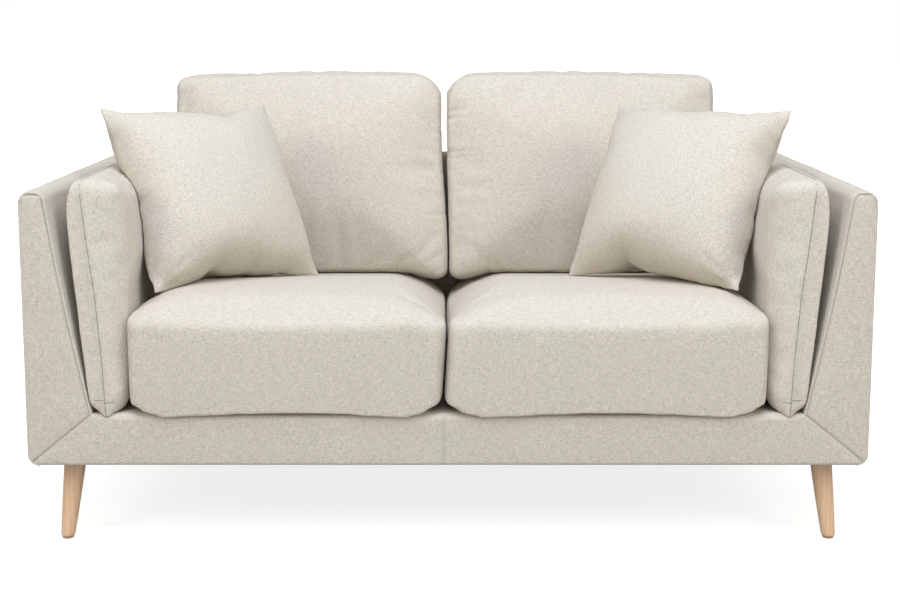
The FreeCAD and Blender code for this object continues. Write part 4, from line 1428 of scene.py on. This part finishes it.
solid = {}
for c in cushions:
    c.settle()
    me = c.ob.data
    p = coords(me)
    if "seat_cushion" in c.name:
        c.smooth(10)
        p = coords(me)
        nn = normals(me)
        ax = np.abs(p[:, 0])
        ends = np.minimum(ax - 0.002, S_HI[0] + 0.003 - ax)
        face = ease((-nn[:, 1] - 0.52) / 0.46) * ease((-0.425 - p[:, 1]) / 0.020) * ease(ends / 0.010)
        face = np.where(p[:, 2] < 0.34, ease((-nn[:, 1] - 0.30) / 0.40) * ease(ends / 0.010), face)
        want = FRONT - 0.0100 - 0.0026 * np.sin(math.pi * np.clip((p[:, 2] - 0.258) / 0.19, 0, 1)) + 0.0075 * np.exp(-((ends / 0.011) ** 2))
        p[:, 1] += (want - p[:, 1]) * face
        under = ease((-0.430 - p[:, 1]) / 0.022) * (1 - ease((p[:, 2] - 0.270) / 0.060)) * ease((ends - 0.004) / 0.050)
        p[:, 2] -= 0.0095 * under
        set_coords(me, c.clamp(p))
        c.smooth(2)
        p = coords(me)
        # the upper front roll is soft
        roll = ease((p[:, 2] - 0.385) / 0.03) * ease((-0.36 - p[:, 1]) / 0.03)
        before = p.copy()
        c.smooth(26)
        p = before + (coords(me) - before) * roll[:, None]

        def lean_gap(q):
            q = q.copy()
            q[:, 0] -= 0.0100 * (1 - np.clip((q[:, 2] - 0.275) / 0.165, 0, 1)) * np.exp(-((q[:, 0] / 0.12) ** 2))
            return q

        p = lean_gap(p)
        set_coords(me, p)
        c.seams = [lean_gap(np.array(l)) for l in c.seams]
    if "back_cushion" in c.name:
        low = np.where(p[:, 2] < 0.50)[0]
        part = clear_of(p[low].copy(), [solid[c.name.replace("back", "seat")]])
        p[low] = part
        set_coords(me, p)
    if "back_cushion" in c.name:
        c.smooth(5)
        p = coords(me)
        nn = normals(me)
        ax = np.abs(p[:, 0])
        fold = np.zeros(len(p))
        front = ease((0.5 - nn[:, 1]) / 0.5) * (nn[:, 1] < 0.3)
        pulls = [(0.792, 0.5), (0.775, 0.9), (0.700, 1.0), (0.688, 0.6), (0.610, 0.5)] if "right" in c.name else [(0.742, 0.5), (0.655, 0.6), (0.560, 0.5)]
        for z0, k in pulls:
            zz = p[:, 2] - z0 - 0.10 * (ax - 0.02)
            fold += 0.0022 * k * np.exp(-((zz / 0.0045) ** 2)) * np.exp(-((ax / 0.055) ** 2))
        drops = [(0.094, 1.0), (0.127, 0.5)] if "right" in c.name else [(0.118, 0.8), (0.300, 0.5)]
        for x0, k in drops:
            fold += 0.0024 * k * np.exp(-(((ax - x0) / 0.005) ** 2)) * np.exp(-(((p[:, 2] - 0.455) / 0.040) ** 2))
        p -= nn * (fold * front)[:, None]
        h = ease((p[:, 2] - 0.46) / 0.30)
        if "left" in c.name:
            p[:, 0] -= 0.0150 * h
        else:
            p[:, 0] -= 0.0060 * h * (1 - np.clip(p[:, 0] / 0.60, 0, 1))
        set_coords(me, p)
        c.seams = [
            np.array([[q[0] - (0.0150 * float(ease((q[2] - 0.46) / 0.30)) if "left" in c.name else 0.0060 * float(ease((q[2] - 0.46) / 0.30)) * (1 - min(1, max(0, q[0] / 0.60)))), q[1], q[2]] for q in l])
            for l in c.seams
        ]
    if "side_cushion" in c.name:
        c.smooth(8)
        p = coords(me)
        # the throw pillow presses into the upper edge
        ax = np.abs(p[:, 0])
        k = 0.013 * np.exp(-(((p[:, 1] + 0.255) / 0.095) ** 2) - ((p[:, 2] - 0.655) / 0.085) ** 2) * ease((0.672 - ax) / 0.03)
        p[:, 0] = np.sign(p[:, 0]) * (ax + k)
        set_coords(me, p)
    c.thread()
    c.done()
    solid[c.name] = tree_of(c.ob)

for side, s, ob, border in pillows:
    me = ob.data
    c = coords(me)
    n_side = len(border) // 4
    tips = [c[border[k * n_side]] for k in range(4)]
    k = TIP / (sum(np.linalg.norm(tips[i] - tips[(i + 1) % 4]) for i in range(4)) / 4)
    c = c * k
    e = np.zeros(len(me.edges) * 2, dtype=np.int64)
    me.edges.foreach_get("vertices", e)
    e = e.reshape(-1, 2)
    count = np.zeros(len(c))
    np.add.at(count, e[:, 0], 1)
    np.add.at(count, e[:, 1], 1)
    rim = np.zeros(len(c), dtype=bool)
    rim[border] = True
    for r in range(34):
        total = np.zeros_like(c)
        np.add.at(total, e[:, 0], c[e[:, 1]])
        np.add.at(total, e[:, 1], c[e[:, 0]])
        step = (total / np.maximum(count, 1)[:, None] - c) * 0.5
        step[rim] = 0
        if r > 10:
            step[:, :2] *= 0.3
        c = c + step
    bl = c[border]
    for r in range(6):
        nb = (np.roll(bl, 1, axis=0) + np.roll(bl, -1, axis=0)) / 2
        hold = np.ones(len(bl))
        for q in range(4):
            hold[q * n_side] = 0
        bl = bl + (nb - bl) * 0.5 * hold[:, None]
    c[border] = bl
    set_coords(me, c)
    me.update()
    nrm = normals(me)
    # puckers run in from the seam, strongest along the lower edge, and the outer lower corner is tucked in
    half = TIP / 2
    for i in range(len(c)):
        x, y, z = c[i]
        a, b = x / half, y / half
        d = {"b": half + y, "l": half - s * x, "t": half - y, "r": half + s * x}
        off = 0.0
        for key, dist, along, amp, size in (
            ("b", d["b"], x, 0.0017, 0.040),
            ("l", d["l"], y, 0.0020, 0.036),
            ("r", d["r"], y, 0.0016, 0.030),
            ("t", d["t"], x, 0.0010, 0.026),
        ):
            env = math.exp(-max(0.0, dist - 0.004) / size) * min(1.0, max(0.0, dist) / 0.012 + 0.15)
            wave = soft_noise((along, 0.07 * dist, 0.0), 0.021, 2.0 + s + len(key) + ord(key) * 0.37)
            fine = soft_noise((along, 0.02 * dist, 1.0), 0.0095, 4.0 + s + ord(key) * 0.11)
            off += amp * env * (wave * 1.5 + fine * 0.7)
        for x0, amp, run in ((0.028, 0.0056, 0.030), (-0.052, 0.0034, 0.018), (-0.098, 0.0040, 0.022), (0.110, 0.0024, 0.014), (0.070, 0.0018, 0.012)):
            off -= amp * math.exp(-(((s * x + x0 + 0.10 * d["b"]) / 0.0042) ** 2)) * math.exp(-max(0.0, d["b"]) / run) * min(1.0, max(0.0, d["b"]) / 0.006)
        off += soft_noise((x, y, z * 2), 0.085, 6.0 + s) * 0.0016
        # creases fan out from the tucked corner
        away, turn = math.hypot(half - s * x, half + y), math.atan2(half + y, half - s * x)
        for th, amp, mid in ((0.30, 0.0034, 0.050), (0.62, 0.0044, 0.072), (0.98, 0.0040, 0.058), (1.28, 0.0030, 0.044)):
            off -= amp * math.exp(-(((turn - th) * away / 0.0046) ** 2)) * math.exp(-(((away - mid) / 0.026) ** 2))
        c[i] = c[i] + nrm[i] * off
        # the tucked corner
        q = math.hypot(half - s * x, half + y)
        t = math.exp(-((q / 0.036) ** 2))
        pull = 0.005 * t
        c[i][0] += -s * pull * 0.75
        c[i][1] += pull * 0.55
        c[i][2] += 0.009 * t * math.sin(q / 0.010)
    set_coords(me, c)
    ob.vertex_groups.clear()
    me.transform(pillow_pose(s))
    rim_line = coords(me)[border].copy()
    me = subdivided(ob)
    c = coords(me)
    near = [solid[side + "_back_cushion_soft"], solid[side + "_seat_cushion_soft"], solid[side + "_side_cushion_soft"]]
    free = c.copy()
    c = clear_of(c, near, passes=1)
    push = c - free
    e = np.zeros(len(me.edges) * 2, dtype=np.int64)
    me.edges.foreach_get("vertices", e)
    e = e.reshape(-1, 2)
    count = np.zeros(len(c))
    np.add.at(count, e[:, 0], 1)
    np.add.at(count, e[:, 1], 1)
    for r in range(60):
        total = np.zeros_like(push)
        np.add.at(total, e[:, 0], push[e[:, 1]])
        np.add.at(total, e[:, 1], push[e[:, 0]])
        push = push + (total / np.maximum(count, 1)[:, None] - push) * 0.6
    c = clear_of(free + push, near, passes=1)
    set_coords(me, c)
    pts = resample(np.vstack([rim_line, rim_line[:1]]), 0.004)
    kd = KDTree(len(pts))
    for i, p in enumerate(pts):
        kd.insert(Vector(p), i)
    kd.balance()
    d = np.array([kd.find(Vector(p))[2] for p in c])
    # painted shade along the pillow's rim seam, in the seam mask
    set_painted_seam_shade(me, np.exp(-((d / 0.0030) ** 2)) * 0.7)
    finish_piece(ob, side + "_throw_pillow", [side + "_throw_pillow_cover", side + "_throw_pillow_filling"])

# ------------------------------------------------------------------ finishes on the carried-over CAD nodes
for name, ob in NODES.items():
    if "board" in name and "rail" not in name:
        mat = HARD
    elif "former" in name:
        mat = PLY
    elif name in ("leg_bolts", "tee_nuts", "spring_clips"):
        mat = ZINC
    elif name == "seat_springs":
        mat = SPRING
    elif name == "seat_felt":
        mat = FELT
    elif name == "back_webbing":
        mat = WEBBING
    elif name.endswith("_padding") or name.endswith("_core") or name.endswith("_filling"):
        mat = FOAM
    elif name.endswith("_cover") or name.endswith("_fascia"):
        mat = FABRIC
    elif name == "deck_cloth":
        mat = DECK
    elif name == "leg_glides":
        mat = GLIDE
    elif name.endswith("_leg"):
        mat = BEECH
    else:
        mat = PINE
    if not ob.data.materials:
        ob.data.materials.append(mat)
    for k in range(len(ob.data.materials)):
        ob.data.materials[k] = mat

# ------------------------------------------------------------------ floor, light, camera
fl = Nodes("pale_floor")
tone = fl.ramp(fl.noise((3, 3, 3)), [(0.3, (0.55, 0.55, 0.55)), (0.7, (0.57, 0.57, 0.57))])
fl.put("Base Color", tone)
fl.put("Roughness", 0.95)
fl.put("Specular IOR Level", 0.0)
fl.put("Emission Color", (1.0, 1.0, 1.0))
away = fl.t.nodes.new("ShaderNodeVectorMath")
away.operation = "LENGTH"
fl.link(fl.coord, away.inputs[0])
glow = fl.math("ADD", fl.math("MULTIPLY", fl.math("SUBTRACT", away.outputs["Value"], 1.0, True), 0.26), 0.82)
seen = fl.t.nodes.new("ShaderNodeLightPath").outputs["Is Camera Ray"]
fl.put("Emission Strength", fl.math("MULTIPLY", glow, seen))
floor = make("floor", [(-30, -30, -0.0004), (30, -30, -0.0004), (30, 30, -0.0004), (-30, 30, -0.0004)], [(0, 1, 2, 3)], fl.mat)

world = bpy.data.worlds.new("studio")
bpy.context.scene.world = world
world.use_nodes = True
wt = world.node_tree
wt.nodes.clear()
wo = wt.nodes.new("ShaderNodeOutputWorld")
lp = wt.nodes.new("ShaderNodeLightPath")
mx = wt.nodes.new("ShaderNodeMixShader")
b1 = wt.nodes.new("ShaderNodeBackground")
b2 = wt.nodes.new("ShaderNodeBackground")
b1.inputs["Color"].default_value = (1.0, 0.975, 0.87, 1)
b1.inputs["Strength"].default_value = 0.42
b2.inputs["Color"].default_value = (1, 1, 1, 1)
b2.inputs["Strength"].default_value = 1.0
wt.links.new(lp.outputs["Is Camera Ray"], mx.inputs[0])
wt.links.new(b1.outputs[0], mx.inputs[1])
wt.links.new(b2.outputs[0], mx.inputs[2])
wt.links.new(mx.outputs[0], wo.inputs["Surface"])


def area(name, at, aim, size, power, colour=(1, 1, 1)):
    d = bpy.data.lights.new(name, "AREA")
    d.shape = "RECTANGLE"
    d.size, d.size_y = size
    d.energy = power
    d.color = colour
    o = bpy.data.objects.new(name, d)
    bpy.context.scene.collection.objects.link(o)
    o.location = at
    o.rotation_mode = "QUATERNION"
    o.rotation_quaternion = (Vector(aim) - Vector(at)).to_track_quat("-Z", "Y")
    return o


area("top_soft", (0.0, -1.5, 3.1), (0, 0.0, 0.4), (3.2, 2.0), 99, (0.755, 0.805, 1.0))
area("front_left", (-3.1, -3.1, 2.5), (0, 0, 0.55), (1.7, 1.7), 42, (1.0, 0.98, 0.87))
area("front_right", (3.1, -3.1, 2.5), (0, 0, 0.55), (1.7, 1.7), 42, (1.0, 0.98, 0.87))

cam_data = bpy.data.cameras.new("camera")
cam = bpy.data.objects.new("camera", cam_data)
bpy.context.scene.collection.objects.link(cam)
cam_data.sensor_width = 36.0
cam_data.lens = 60.6
cam.location = (0.0037, -3.227, 1.0065)
cam.rotation_euler = (math.radians(90 - 10.70), 0, 0)
cam_data.clip_start, cam_data.clip_end = 0.05, 100
bpy.context.scene.camera = cam
bpy.context.scene.view_settings.view_transform = "Standard"
